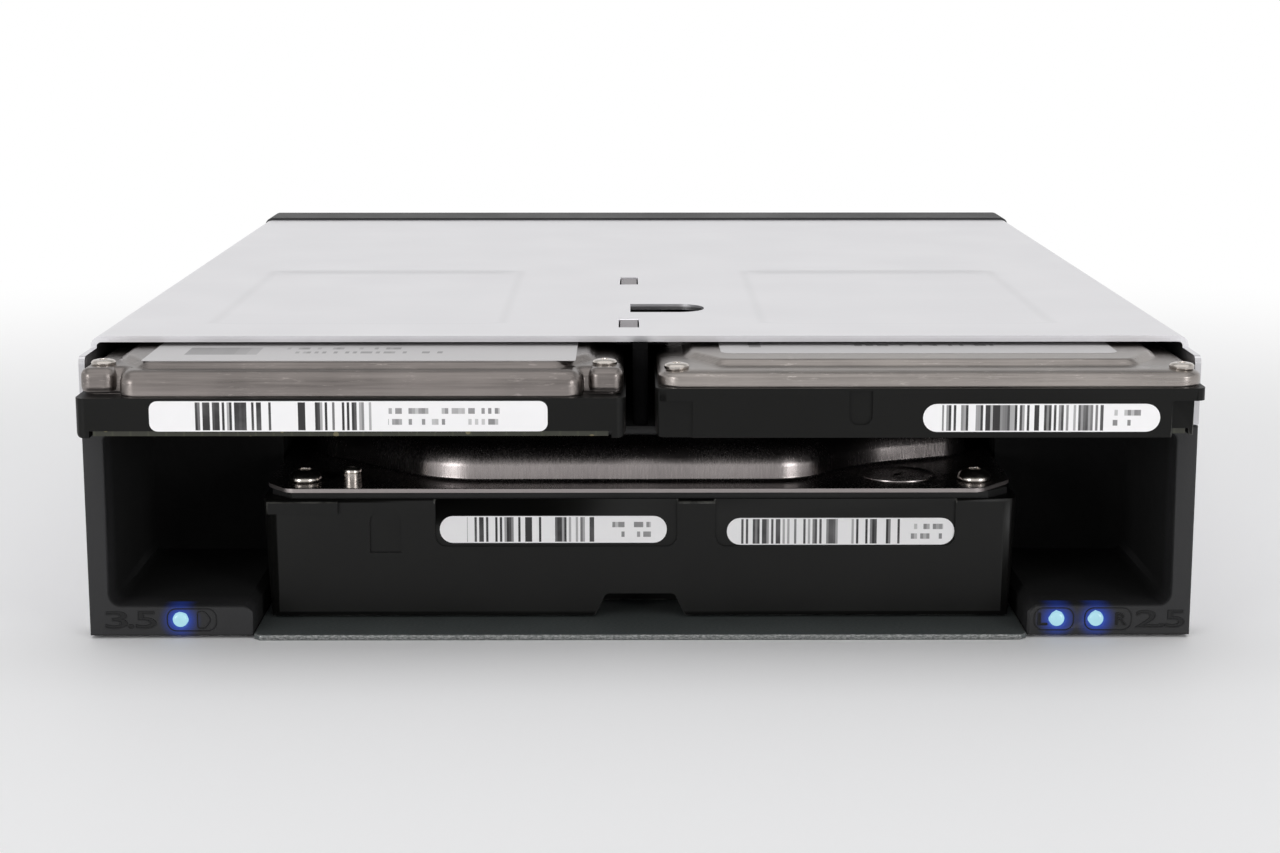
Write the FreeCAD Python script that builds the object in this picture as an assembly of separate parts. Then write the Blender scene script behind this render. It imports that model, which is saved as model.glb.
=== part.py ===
import FreeCAD, Part
import math
import os
from FreeCAD import Vector

# Hard drive cage for one half-height bay, loaded with one big and two small drives.
# Millimetres. X runs across, Y from the front plane to the rear, Z up from the resting face.

# Standard drive sizes
big_width = 101.6
big_height = 26.1
big_length = 147.0
small_width = 69.85
small_height = 9.3
small_length = 100.2

# Where the drives stand against the front plane
big_setback = 7.0
small_overhang = 9.0

# Clearances
slide_gap = 0.25
big_top_gap = 0.35
big_side_gap = 0.6
small_side_gap = 0.45
small_top_gap = 0.25
fit = 0.1
screw_fit = 0.05
mate_gap = 0.15
peg_fit = 0.1
board_room = 0.4

# How far a cutter runs past a face, and a joined piece into its neighbour
past = 1.0
root = 0.5

# Sheet metal
sheet = 0.8
bend = 0.6
emboss = 0.3
emboss_slope = 3.0
emboss_corner = 6.0
emboss_shift = -1.0
emboss_inner = 16.5
emboss_outer = 59.5
emboss_front = 18.5
emboss_rear = 80.5
top_setback = 7.4
wall_corner = 1.0
lip_drop = 0.2
tongue_lip = 1.0
tongue_chamfer = 0.9
flange_height = 7.6
wall_foot = 0.3
shell_screw_front = 46.0
shell_screw_rear = 14.0

# Front frame
frame_depth = 34.0
frame_band = 5.0
frame_foot = 0.4
foot_top = 4.6
foot_chamfer = 1.0
pillar = 2.8
pocket_radius = 1.5
pocket_top_radius = 0.8
pocket_wall = 2.0
frame_edge = 0.3
shelf = 1.1
lug_front = 16.0
lug_length = 6.0
lug_bottom = 12.0
lug_height = 6.0
lug_flat = 1.5

# Divider between the small drives
divider_gap = 3.8
divider_web = 2.0
divider_setback = 1.2
divider_cap = 6.4
divider_cap_thickness = 0.5
divider_cap_setback = 1.0
divider_foot = 10.0
divider_end_gap = 3.2
hook_offset = -1.5
hook_width = 2.4
hook_length = 8.6
hook_front = 15.4
hook_pitch = 46.6
hook_sink = 0.2
key_slot_width = 10.6
key_slot_length = 8.6
key_slot_left = -1.3
key_slot_front = 30.5

# Guides
guide_wall = 1.6
guide_ledge = 1.4
guide_rib = 1.4
rib_first = 40.0
rib_pitch = 36.5
rib_count = 4
rib_clip = 1.5
peg = 2.4
peg_front = 14.0
peg_rear = 20.0
upper_peg_side = 10.0
upper_peg_front = 8.0
upper_peg_rear = 16.0

# Boards and rear
board = 1.6
board_stand = 3.0
board_margin = 1.2
backplane_foot = 0.4
backplane_head = 0.5
upper_board_gap = 0.6
link_width = 44.0
link_depth = 7.0
link_height = 6.0
cap_join = 4.4
cap_depth = 11.5
cap_proud = 0.4
cap_wall = 2.0
cap_panel = 2.0
cap_panel_setback = 1.0
cap_edge = 0.6
cap_lug_gap = 1.0
cap_lug_length = 3.0
cap_lug_flat = 0.8
post = 4.0
post_side = 8.0
post_low = 8.0
post_top = 6.0
spigot = 1.5
port_length = 9.4
port_height = 6.2
port_wall = 1.0
port_room = 1.2
port_floor = 3.0
data_port_width = 16.4
power_port_width = 26.6
data_port_level = 28.0
power_port_level = 12.0
vent_width = 1.8
vent_height = 5.0
vent_pitch = 15.0
vent_level = 20.0
vent_count = 8

# Bay fixing holes
bolt_radius = 1.25
bolt_front = 52.3
bolt_pitch = 79.25
bolt_low = 10.0
bolt_rise = 11.84

# Light pipes
pipe_radius = 1.0
pipe_level = 2.6
left_pipe_offset = 9.6
inner_pipe_offset = 3.9
outer_pipe_offset = 9.1
pipe_nose = 0.2
lamp_width = 1.6
lamp_height = 1.2
lamp_depth = 0.9
lamp_gap = 0.3

# Plugs and sockets
signal_width = 10.4
power_width = 20.6
tongue_gap = 2.4
tongue = 1.2
tongue_key = 1.1
tongue_length = 4.8
plug_depth = 4.2
plug_recess = 0.3
plug_room = 5.0
plug_back = 0.6
horn_gap = 2.6
horn_width = 1.4
horn_inset = 0.3
bar_margin = 0.2
socket_wall = 1.7
big_plug_offset = 20.7
big_plug_level = 5.0
big_plug_top = 7.4
big_socket_low = 2.7
big_socket_top = 6.5
small_plug_offset = 4.8
small_plug_level = 3.5
small_plug_top = 4.95
small_socket_depth = 4.4
small_socket_top = 4.9

# Big drive
big_casting = 16.3
big_gasket = 0.9
big_flange = 0.6
big_tier = 22.9
big_corner = 2.0
big_draft = 1.0
big_draft_depth = 10.0
big_chamfer = 3.0
big_edge = 0.4
big_foot = 0.8
gasket_inset = 0.9
gasket_width = 1.3
flange_inset = 0.2
big_board = 1.2
big_board_rise = 1.4
big_board_side = 5.0
big_board_front = 52.0
big_board_rear = 4.6
big_board_step = 20.0
big_board_notch = 34.0
big_board_notch_half = 20.0
big_motor = 14.0
big_motor_y = 69.0
big_motor_lift = 0.3
pad_inset = 0.6
pad_width = 9.6
pad_height = 1.7
pad_drop = 0.2
pad_proud = 0.5
label_pocket = 0.4
label_level = 9.8
label_corner = 1.5
label_spans = ((-27.6, 5.0), (10.1, 42.5))
arch_left = -36.4
arch_width = 4.2
arch_low = 9.0
arch_top = 15.0
arch_corner = 1.9
arch_depth = 0.3
side_hole = 1.4
side_hole_depth = 4.0
side_hole_level = 6.35
side_hole_backs = (28.5, 70.1, 130.1)
notch_top = 9.3
notch_bottom = 12.3
notch_height = 3.3
notch_depth = 9.0
notch_corner = 0.8
dome_front = 5.0
dome_half = 47.6
dome_round = 2.6
dome_left = -27.0
dome_left_back = 20.0
dome_right = 22.5
dome_bay = 29.5
dome_bay_back = 10.0
dome_right_back = 17.5
dome_rear = 14.0
dome_corner = 7.0
dome_bay_corner = 6.0
dome_right_corner = 5.0
crown_inset = 7.0
crown_clip = 8.0
crown_front = 12.0
crown_rear = 24.0
dimple_radius = 5.0
dimple_x = 35.6
dimple_y = 9.2
dimple_depth = 0.3
pin_radius = 1.3
pin_height = 1.9
pin_root = 2.6
pin_inset = 11.6
cover_screw_inset = 5.2

# Small drives
left_casting = 5.1
right_casting = 6.3
small_board = 0.7
small_board_rise = 0.2
small_board_rear = 4.6
small_rail = 1.8
small_foot = 0.9
small_front_wall = 1.4
small_motor = 9.0
small_motor_y = 38.0
small_motor_lift = 0.1
small_corner = 1.4
plain_corner = 3.2
small_inset = 0.4
small_shoulder = 8.7
small_round = 1.0
label_side = 2.2
label_neck = 6.4
label_front = 2.6
label_neck_back = 7.5
label_side_back = 8.5
label_clip = 1.0
ear_width = 4.8
ear_setback = 2.0
ear_lift = 0.5
groove = 0.9
groove_depth = 1.4
casting_rim = 1.6
panel_left = 4.7
panel_right = 4.3
panel_left_step = 0.4
panel_right_step = 1.6
rim_overhang = 1.2
rim_overhang_depth = 7.0
mark_left = -10.4
mark_width = 3.0
mark_low = 1.6
mark_corner = 1.2
mark_drop = 0.3
mark_depth = 0.4
small_screw_side = 2.7
plain_screw_front = 3.0
ear_screw_front = 6.1
small_screw_rear = 3.2

# Screws
cover_head = 2.3
cover_head_height = 1.7
cover_screw_length = 4.6
small_head = 1.6
small_head_height = 0.7
small_screw_grip = 1.4
thread = 1.0
sunk_head = 2.3
sunk_depth = 1.1
sunk_length = 3.4
sides = 8
motor_sides = 24

# Levels, from the resting face up
big_z = sheet + slide_gap
shelf_z = big_z + big_height + big_top_gap
shelf_top = shelf_z + shelf
small_z = shelf_top + slide_gap
panel_z = small_z + small_height + small_top_gap + emboss
cage_height = panel_z + sheet

# Half widths, from the middle out
bay_half = big_width / 2 + big_side_gap
small_x = divider_gap / 2 + small_width / 2
inner_half = small_x + small_width / 2 + small_side_gap
half = inner_half + sheet
pocket_half = half - pillar
flange_half = inner_half - fit
data_port_pitch = inner_half / 2
power_port_pitch = 0.6 * inner_half
bend_outer = bend + sheet
plug_half = (signal_width + tongue_gap + power_width) / 2

# Depths, from the front plane back
big_rear = big_setback + big_length
small_front = -small_overhang
small_rear = small_front + small_length
divider_rear = small_rear - divider_end_gap
board_y = big_rear + board_stand
board_rear = board_y + board
shell_depth = board_rear + cap_join
guide_end = board_y
upper_front = small_rear + upper_board_gap
floor_rear = board_rear
upper_rear = board_y - fit
floor_front = frame_depth + fit
bolt_rows = (bolt_front, bolt_front + bolt_pitch)
bolt_levels = (bolt_low, bolt_low + bolt_rise)
pipes = (-bay_half - left_pipe_offset, bay_half + inner_pipe_offset, bay_half + outer_pipe_offset)


def at(plane, u, v, w):
    """Point of a drawing plane: XY from above, XZ from the front, YZ from the side."""
    if plane == "XY":
        return Vector(u, v, w)
    if plane == "XZ":
        return Vector(u, w, v)
    return Vector(w, u, v)


def outline(plane, corners, w):
    """Closed wire through (u, v) corners, or (u, v, radius) corners that are rounded."""
    spans = []
    for i, corner in enumerate(corners):
        here = at(plane, corner[0], corner[1], w)
        radius = corner[2] if len(corner) > 2 else 0.0
        if radius <= 0.0:
            spans.append((here, here, None))
            continue
        before = corners[i - 1]
        after = corners[(i + 1) % len(corners)]
        back = (at(plane, before[0], before[1], w) - here).normalize()
        ahead = (at(plane, after[0], after[1], w) - here).normalize()
        angle = back.getAngle(ahead) / 2
        reach = radius / math.tan(angle)
        inward = (back + ahead).normalize()
        middle = here + inward * (radius / math.sin(angle) - radius)
        spans.append((here + back * reach, here + ahead * reach, middle))
    edges = []
    for i, (start, end, middle) in enumerate(spans):
        if middle is not None:
            edges.append(Part.Arc(start, middle, end).toShape())
        following = spans[(i + 1) % len(spans)][0]
        if (following - end).Length > 1e-6:
            edges.append(Part.LineSegment(end, following).toShape())
    return Part.Wire(edges)


def prism(plane, corners, start, end):
    """Outline drawn at one offset and extruded to another."""
    face = Part.Face(outline(plane, corners, start))
    return face.extrude(at(plane, 0, 0, end - start))


def rect(u0, u1, v0, v1, radius=0.0):
    """Corners of a rectangle."""
    return [(u0, v0, radius), (u1, v0, radius), (u1, v1, radius), (u0, v1, radius)]


def pan(corners_high, high, corners_low, low):
    """Solid that runs from one outline down to another below it."""
    wires = [outline("XY", corners_high, high), outline("XY", corners_low, low)]
    return Part.makeLoft(wires, True, True)


def block(x0, x1, y0, y1, z0, z1):
    """Plain block between two corners."""
    return Part.makeBox(x1 - x0, y1 - y0, z1 - z0, Vector(x0, y0, z0))


def rod(x, y, z, radius, length, way):
    """Round bar from a point along a direction."""
    return Part.makeCylinder(radius, length, Vector(x, y, z), Vector(*way))


def ring(radius, height, count):
    """Outline of a small round piece, drawn with few sides because there are many of them."""
    step = 2 * math.pi / count
    corners = [Vector(radius * math.cos(k * step), radius * math.sin(k * step), height) for k in range(count)]
    return Part.makePolygon(corners + corners[:1])


def turned(points, x, y, z, way, count=sides):
    """Small round piece from (radius, height) points, set at a point along a direction."""
    pieces = []
    for (r0, h0), (r1, h1) in zip(points, points[1:]):
        if h1 > h0 and r1 == r0:
            pieces.append(Part.Face(ring(r0, h0, count)).extrude(Vector(0, 0, h1 - h0)))
        elif h1 > h0:
            pieces.append(Part.makeLoft([ring(r0, h0, count), ring(r1, h1, count)], True, True))
    solid = fused(pieces) if len(pieces) > 1 else pieces[0]
    turn = FreeCAD.Rotation(Vector(0, 0, 1), Vector(*way))
    solid.Placement = FreeCAD.Placement(Vector(x, y, z), turn)
    return solid


def drilled(x, y, z, radius, length, way):
    """Cutter for a small plain hole, wide enough for a round piece of the radius."""
    wide = radius / math.cos(math.pi / sides)
    return turned([(wide, 0), (wide, length)], x, y, z, way)


def pan_screw(x, y, z, head, height, length):
    """Upright screw with a raised head, its underside at the point."""
    shank = [(thread, -length), (thread, 0)]
    cap = [(head, 0), (head, 0.6 * height), (0.75 * head, height)]
    return turned(shank + cap, x, y, z, (0, 0, 1))


def sunk_screw(x, y, z, way):
    """Screw with a countersunk head, flush at the point."""
    return turned([(thread, -sunk_length), (thread, -sunk_depth), (sunk_head, 0)], x, y, z, way)


def sunk_seat(x, y, z, way):
    """Cutter for the seat of a countersunk screw."""
    wide = sunk_head + 2 * screw_fit
    slim = thread + 2 * screw_fit
    depth = sunk_length + past
    return turned([(slim, -depth), (slim, -sunk_depth), (wide, 0), (wide, past)], x, y, z, way)


def mirrored(shape):
    """The same shape on the other side of the middle."""
    return shape.mirror(Vector(0, 0, 0), Vector(1, 0, 0))


def fused(shapes):
    """One solid out of touching shapes, with the seams between flush faces taken out."""
    return shapes[0].multiFuse(shapes[1:]).removeSplitter()


def cut_all(shape, cutters):
    """Shape with every cutter taken away."""
    return shape.cut(Part.makeCompound(cutters))


def round_top(shape, level, radius):
    """Shape with the edges that lie at one level rounded over."""
    edges = []
    for edge in shape.Edges:
        box = edge.BoundBox
        if abs(box.ZMin - level) < 1e-4 and abs(box.ZMax - level) < 1e-4:
            edges.append(edge)
    return shape.makeFillet(radius, edges)


def bevel_front(shape, depth, size):
    """Shape with the edges that lie in one upright plane bevelled."""
    edges = []
    for edge in shape.Edges:
        box = edge.BoundBox
        if abs(box.YMin - depth) < 1e-4 and abs(box.YMax - depth) < 1e-4:
            edges.append(edge)
    return shape.makeChamfer(size, edges)


def export(name, shape):
    """Write one node."""
    shape.exportStep("parts/" + name + ".step")


def group(shapes):
    """Several like fasteners as one node."""
    return Part.makeCompound(shapes)


def tongues(xc, zc, y0, y1, grow=0.0):
    """The two keyed contact tongues of a drive plug."""
    left = xc - plug_half
    right = xc + plug_half
    made = []
    for x0, x1 in ((left, left + signal_width), (right - power_width, right)):
        a = x0 - grow
        b = x1 + grow
        low = zc - tongue / 2 - grow
        high = zc + tongue / 2 + grow
        drop = low - tongue_key
        inner = b - tongue - 2 * grow
        section = [(a, low), (inner, low), (inner, drop), (b, drop), (b, high), (a, high)]
        made.append(prism("XZ", section, y0, y1))
    return made


def drive_plug(xc, zc, rear, z0, z1):
    """Connector on a drive: back bar, two side horns and the two tongues."""
    face = rear - tongue_length - plug_recess
    inner = plug_half + horn_gap
    outer = inner + horn_width
    end = outer + bar_margin
    pieces = [block(xc - end, xc + end, face - plug_depth, face, z0, z1)]
    for sign in (-1, 1):
        x0, x1 = sorted((xc + sign * inner, xc + sign * outer))
        pieces.append(block(x0, x1, face - root, rear - 2 * plug_recess, z0 + horn_inset, z1 - horn_inset))
    return fused(pieces + tongues(xc, zc, face - root, rear - plug_recess))


def drive_socket(xc, zc, rear, y1, z0, z1):
    """Receptacle for a drive plug, open towards the front."""
    y0 = rear - tongue_length
    end = plug_half + socket_wall
    body = block(xc - end, xc + end, y0, y1, z0, z1)
    return cut_all(body, tongues(xc, zc, y0 - past, rear + mate_gap, mate_gap))


def cage_port(xc, zc, width, contact):
    """Rear port: shroud with a keyed tongue inside, open towards the rear."""
    y1 = board_rear + port_length
    low = zc - port_height / 2
    high = zc + port_height / 2
    a = xc - contact / 2
    b = xc + contact / 2
    floor = board_rear + port_floor
    shroud = block(xc - width / 2, xc + width / 2, board_rear, y1, low, high)
    hollow = block(a - port_room, b + port_room, floor, y1 + past, low + port_wall, high - port_wall)
    key = b - tongue
    drop = zc - tongue_key
    leaf_plan = [(a, zc), (key, zc), (key, drop), (b, drop), (b, zc + tongue), (a, zc + tongue)]
    leaf = prism("XZ", leaf_plan, floor - root, y1 - root)
    return fused([shroud.cut(hollow), leaf])


def shell_screw_places():
    """Where the shell is screwed to the floor plate's flanges."""
    return [(side, y) for side in (-1, 1) for y in (shell_screw_front, board_y - shell_screw_rear)]


def guide_peg_places():
    """Where the right guide's pegs stand in the floor plate."""
    return [(bay_half, y) for y in (frame_depth + peg_front, board_y - peg_rear)]


def upper_peg_places():
    """Where the right guide's pegs hold the upper board."""
    x = inner_half - upper_peg_side
    return [(x, y) for y in (upper_front + upper_peg_front, board_y - upper_peg_rear)]


def cap_post_places():
    """Where the rear cap's posts press on the backplane."""
    across = inner_half - post_side
    return [(side * across, z) for side in (-1, 1) for z in (post_low, panel_z - post_top)]


def top_shell():
    """Top panel and both side walls, folded from one sheet."""
    fold = [
        (-half, wall_foot),
        (-half, cage_height, bend_outer),
        (half, cage_height, bend_outer),
        (half, wall_foot),
        (inner_half, wall_foot),
        (inner_half, panel_z, bend),
        (-inner_half, panel_z, bend),
        (-inner_half, wall_foot),
    ]
    lip = cage_height - bend_outer - lip_drop
    side = [
        (frame_band + fit, wall_foot - past),
        (shell_depth, wall_foot - past),
        (shell_depth, cage_height + past),
        (top_setback, cage_height + past),
        (top_setback, lip),
        (0, lip, wall_corner),
        (0, shelf_top + fit),
        (frame_band + fit, shelf_top + fit),
    ]
    shell = prism("XZ", fold, 0, shell_depth).common(prism("YZ", side, -half - past, half + past))
    added = []
    taken = []
    for sign in (-1, 1):
        x0, x1 = sorted((emboss_shift + sign * emboss_inner, emboss_shift + sign * emboss_outer))
        s = emboss_slope
        wide = rect(x0, x1, emboss_front, emboss_rear, emboss_corner)
        low = rect(x0 + s, x1 - s, emboss_front + s, emboss_rear - s, emboss_corner - s)
        m = s / 2
        below = rect(x0 + m, x1 - m, emboss_front + m, emboss_rear - m)
        added.append(prism("XY", below, panel_z - emboss, panel_z))
        taken.append(pan(wide, cage_height, low, cage_height - emboss))
    for k in range(2):
        y0 = hook_front + k * hook_pitch - fit
        x0 = hook_offset - hook_width / 2 - 2 * fit
        slot = rect(x0, x0 + hook_width + 4 * fit, y0, y0 + hook_length + 2 * fit)
        taken.append(prism("XY", slot, panel_z - past, cage_height + past))
    x1 = key_slot_left + key_slot_width
    y1 = key_slot_front + key_slot_length
    tip = 0.45 * key_slot_length
    key = [(key_slot_left, key_slot_front), (x1, key_slot_front, tip), (x1, y1, tip), (key_slot_left, y1)]
    taken.append(prism("XY", key, panel_z - past, cage_height + past))
    for y in bolt_rows:
        for z in bolt_levels:
            taken.append(rod(-half - past, y, z, bolt_radius, 2 * (half + past), (1, 0, 0)))
    low = lug_bottom - fit
    high = lug_bottom + lug_height + fit
    window = rect(lug_front - 2 * fit, lug_front + lug_length + 2 * fit, low, high)
    taken.append(prism("YZ", window, -half - past, half + past))
    y0 = cap_lug_front()
    rear_window = rect(y0, y0 + cap_lug_length, low, high)
    taken.append(prism("YZ", rear_window, -half - past, half + past))
    for side_sign, y in shell_screw_places():
        taken.append(shell_screw(sunk_seat, side_sign, y))
    return cut_all(fused([shell] + added), taken)


def shell_screw(form, side, y):
    """Screw through a side wall into the floor plate's flange, or its seat."""
    return form(side * (half - screw_fit), y, 0.6 * flange_height, (side, 0, 0))


def cap_lug_front():
    """Depth where the rear cap's catches start."""
    return board_rear + cap_lug_gap


def floor_plate():
    """Floor with a front tongue between the feet and a flange turned up along each side."""
    inside = flange_half - sheet
    fold = [
        (-flange_half, 0, bend_outer),
        (flange_half, 0, bend_outer),
        (flange_half, flange_height),
        (inside, flange_height),
        (inside, sheet, bend),
        (-inside, sheet, bend),
        (-inside, flange_height),
        (-flange_half, flange_height),
    ]
    tray = prism("XZ", fold, floor_front, floor_rear)
    edge = bay_half - fit
    c = tongue_chamfer
    plan = [
        (-edge, floor_front + past),
        (-edge, c - tongue_lip),
        (c - edge, -tongue_lip),
        (edge - c, -tongue_lip),
        (edge, c - tongue_lip),
        (edge, floor_front + past),
    ]
    tongue_sheet = prism("XY", plan, 0, sheet)
    taken = []
    for sign in (-1, 1):
        for x, y in guide_peg_places():
            taken.append(guide_peg(sign, x, y, peg_fit))
    for sign, y in shell_screw_places():
        taken.append(shell_screw(sunk_seat, sign, y))
    return cut_all(fused([tray, tongue_sheet]), taken)


def staple(outer):
    """Front view of the frame: two feet, two pillars and the shelf that joins them."""
    c = foot_chamfer
    right = [
        (pocket_half, shelf_z, pocket_top_radius),
        (pocket_half, foot_top, pocket_radius),
        (bay_half + c, foot_top),
        (bay_half, foot_top - c),
        (bay_half, frame_foot),
        (outer, frame_foot),
        (outer, shelf_top),
    ]
    left = [(-corner[0],) + corner[1:] for corner in reversed(right)]
    return right + left


def front_frame():
    """Moulding with two finger pockets, two feet and the shelf under the small drives."""
    band = prism("XZ", staple(half), 0, frame_band)
    band = bevel_front(band, 0, frame_edge)
    body = prism("XZ", staple(flange_half), frame_band, frame_depth)
    pieces = [band, body]
    wall = frame_depth - pocket_wall
    for sign in (-1, 1):
        x0, x1 = sorted((sign * bay_half, sign * (pocket_half + root)))
        pieces.append(block(x0, x1, wall, frame_depth, foot_top - root, shelf_z + root))
        ramp = [
            (sign * (flange_half - root), lug_front),
            (sign * (half - fit), lug_front),
            (sign * (half - fit), lug_front + lug_flat),
            (sign * (flange_half - root), lug_front + lug_length),
        ]
        pieces.append(prism("XY", ramp, lug_bottom, lug_bottom + lug_height))
    bore = pipe_radius + screw_fit
    bores = [drilled(x, -past, pipe_level, bore, frame_depth + 2 * past, (0, 1, 0)) for x in pipes]
    return cut_all(fused(pieces), bores)


def guide_peg(sign, x, y, grow=0.0):
    """Peg under a guide that stands in the floor plate; grown, it cuts its hole."""
    x0, x1 = sorted((sign * (x - grow), sign * (x + guide_wall + grow)))
    return block(x0, x1, y - grow, y + 2 * peg + grow, fit - grow, sheet + root)


def upper_peg(sign, x, y, grow=0.0):
    """Peg on a guide that holds the upper board; grown, it cuts its hole."""
    x0, x1 = sorted((sign * (x - grow), sign * (x + peg + grow)))
    return block(x0, x1, y - grow, y + peg + grow, shelf_top - root, shelf_top + board + root)


def guide(sign):
    """Ribbed side moulding that guides the big drive and carries a small one."""
    x0 = bay_half
    x1 = inner_half - 2 * fit
    under = shelf_top - guide_ledge
    bracket = [
        (x0, sheet),
        (x0 + guide_wall, sheet),
        (x0 + guide_wall, under),
        (x1, under),
        (x1, shelf_top),
        (x0, shelf_top),
    ]
    pieces = [prism("XZ", bracket, frame_depth, guide_end)]
    out = flange_half - sheet - 2 * fit
    c = rib_clip
    a = x0 + root
    b = under + root
    rib = [(a, sheet), (out - c, sheet), (out, sheet + c), (out, b), (a, b)]
    for k in range(rib_count):
        y0 = rib_first + k * rib_pitch
        pieces.append(prism("XZ", rib, y0, y0 + guide_rib))
    pieces += [guide_peg(1, x, y) for x, y in guide_peg_places()]
    pieces += [upper_peg(1, x, y) for x, y in upper_peg_places()]
    taken = []
    for x in pipes:
        if x * sign > 0:
            wide = pipe_radius + 2 * fit
            slot = rect(abs(x) - wide, abs(x) + wide, sheet - past, pipe_level + wide)
            taken.append(prism("XZ", slot, rib_first - past, guide_end + past))
    solid = cut_all(fused(pieces), taken)
    return solid if sign > 0 else mirrored(solid)


def bay_divider():
    """Upright web between the small drives, hooked into the top panel, with a foot behind the shelf."""
    w = divider_web / 2
    top = panel_z - divider_cap_thickness
    nose = [
        (-w, divider_setback, 0.8 * w),
        (w, divider_setback, 0.8 * w),
        (w, divider_rear),
        (-w, divider_rear),
    ]
    pieces = [prism("XY", nose, shelf_top, panel_z)]
    cap_front = top_setback + divider_cap_setback
    foot_front = frame_depth + fit
    pieces.append(block(-divider_cap / 2, divider_cap / 2, cap_front, divider_rear, top, panel_z))
    pieces.append(block(-divider_foot / 2, divider_foot / 2, foot_front, divider_rear, shelf_z, shelf_top))
    pieces.append(block(-w, w, foot_front, divider_rear, shelf_z, panel_z))
    for k in range(2):
        y0 = hook_front + k * hook_pitch
        x0 = hook_offset - hook_width / 2
        pieces.append(block(x0, x0 + hook_width, y0, y0 + hook_length, top, cage_height - hook_sink))
    return fused(pieces)


def rear_cap():
    """Moulded end piece with a recessed port panel and a spigot that catches in the shell."""
    y0 = shell_depth
    y1 = shell_depth + cap_depth
    panel0 = y0 + cap_panel_setback
    panel1 = panel0 + cap_panel
    floor = wall_foot + fit
    crest = cage_height + cap_proud
    rim = prism("XZ", rect(-half, half, wall_foot, crest, bend_outer), y0, y1)
    rim = bevel_front(rim, y1, cap_edge)
    join = board_rear + fit
    c = bend
    top = panel_z - fit
    f = flange_half
    plug_plan = [(-f, floor), (f, floor), (f, top - c), (f - c, top), (c - f, top), (-f, top - c)]
    plug = prism("XZ", plug_plan, join, y0 + root)
    pieces = [rim, plug]
    for sign in (-1, 1):
        lug_end = cap_lug_front() + cap_lug_length - fit
        catch = [
            (sign * (flange_half - root), lug_end),
            (sign * (half - fit), lug_end),
            (sign * (half - fit), lug_end - cap_lug_flat),
            (sign * (flange_half - root), cap_lug_front() + fit),
        ]
        pieces.append(prism("XY", catch, lug_bottom, lug_bottom + lug_height))
    w = cap_wall
    s = spigot
    p = post / 2
    back = block(w - half, half - w, panel1, y1 + past, wall_foot + w, crest - w)
    front = block(s - flange_half, flange_half - s, join - past, panel0, floor + s, panel_z - fit - s)
    body = cut_all(fused(pieces), [back, front])
    posts = [block(x - p, x + p, board_rear, panel0 + root, z - p, z + p) for x, z in cap_post_places()]
    taken = []
    for x in data_port_places():
        taken.append(port_window(x, data_port_level, data_port_width, panel0, panel1))
    for x in power_port_places():
        taken.append(port_window(x, power_port_level, power_port_width, panel0, panel1))
    v = vent_width / 2
    low = vent_level - vent_height / 2
    for k in range(vent_count):
        x = (k - (vent_count - 1) / 2) * vent_pitch
        taken.append(block(x - v, x + v, panel0 - past, panel1 + past, low, low + vent_height))
    return cut_all(fused([body] + posts), taken)


def port_window(xc, zc, width, y0, y1):
    """Cut in the rear panel round a port."""
    a = width / 2 + 2 * fit
    b = port_height / 2 + 2 * fit
    return block(xc - a, xc + a, y0 - past, y1 + past, zc - b, zc + b)


def data_port_places():
    """Middles of the data ports across the back."""
    return [(k - 1) * data_port_pitch for k in range(3)]


def power_port_places():
    """Middles of the power ports across the back."""
    return [(k - 0.5) * power_port_pitch for k in range(2)]


def backplane():
    """Upright board behind the big drive, held between the guides and the rear cap."""
    edge = flange_half - sheet - fit
    return block(-edge, edge, board_y, board_rear, sheet + backplane_foot, panel_z - backplane_head)


def upper_board():
    """Flat board behind the small drives, carried on the guides and held by their pegs."""
    edge = inner_half - board_margin
    plate = block(-edge, edge, upper_front, upper_rear, shelf_top, shelf_top + board)
    pegs = [upper_peg(sign, x, y, peg_fit) for sign in (-1, 1) for x, y in upper_peg_places()]
    return cut_all(plate, pegs)


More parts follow.
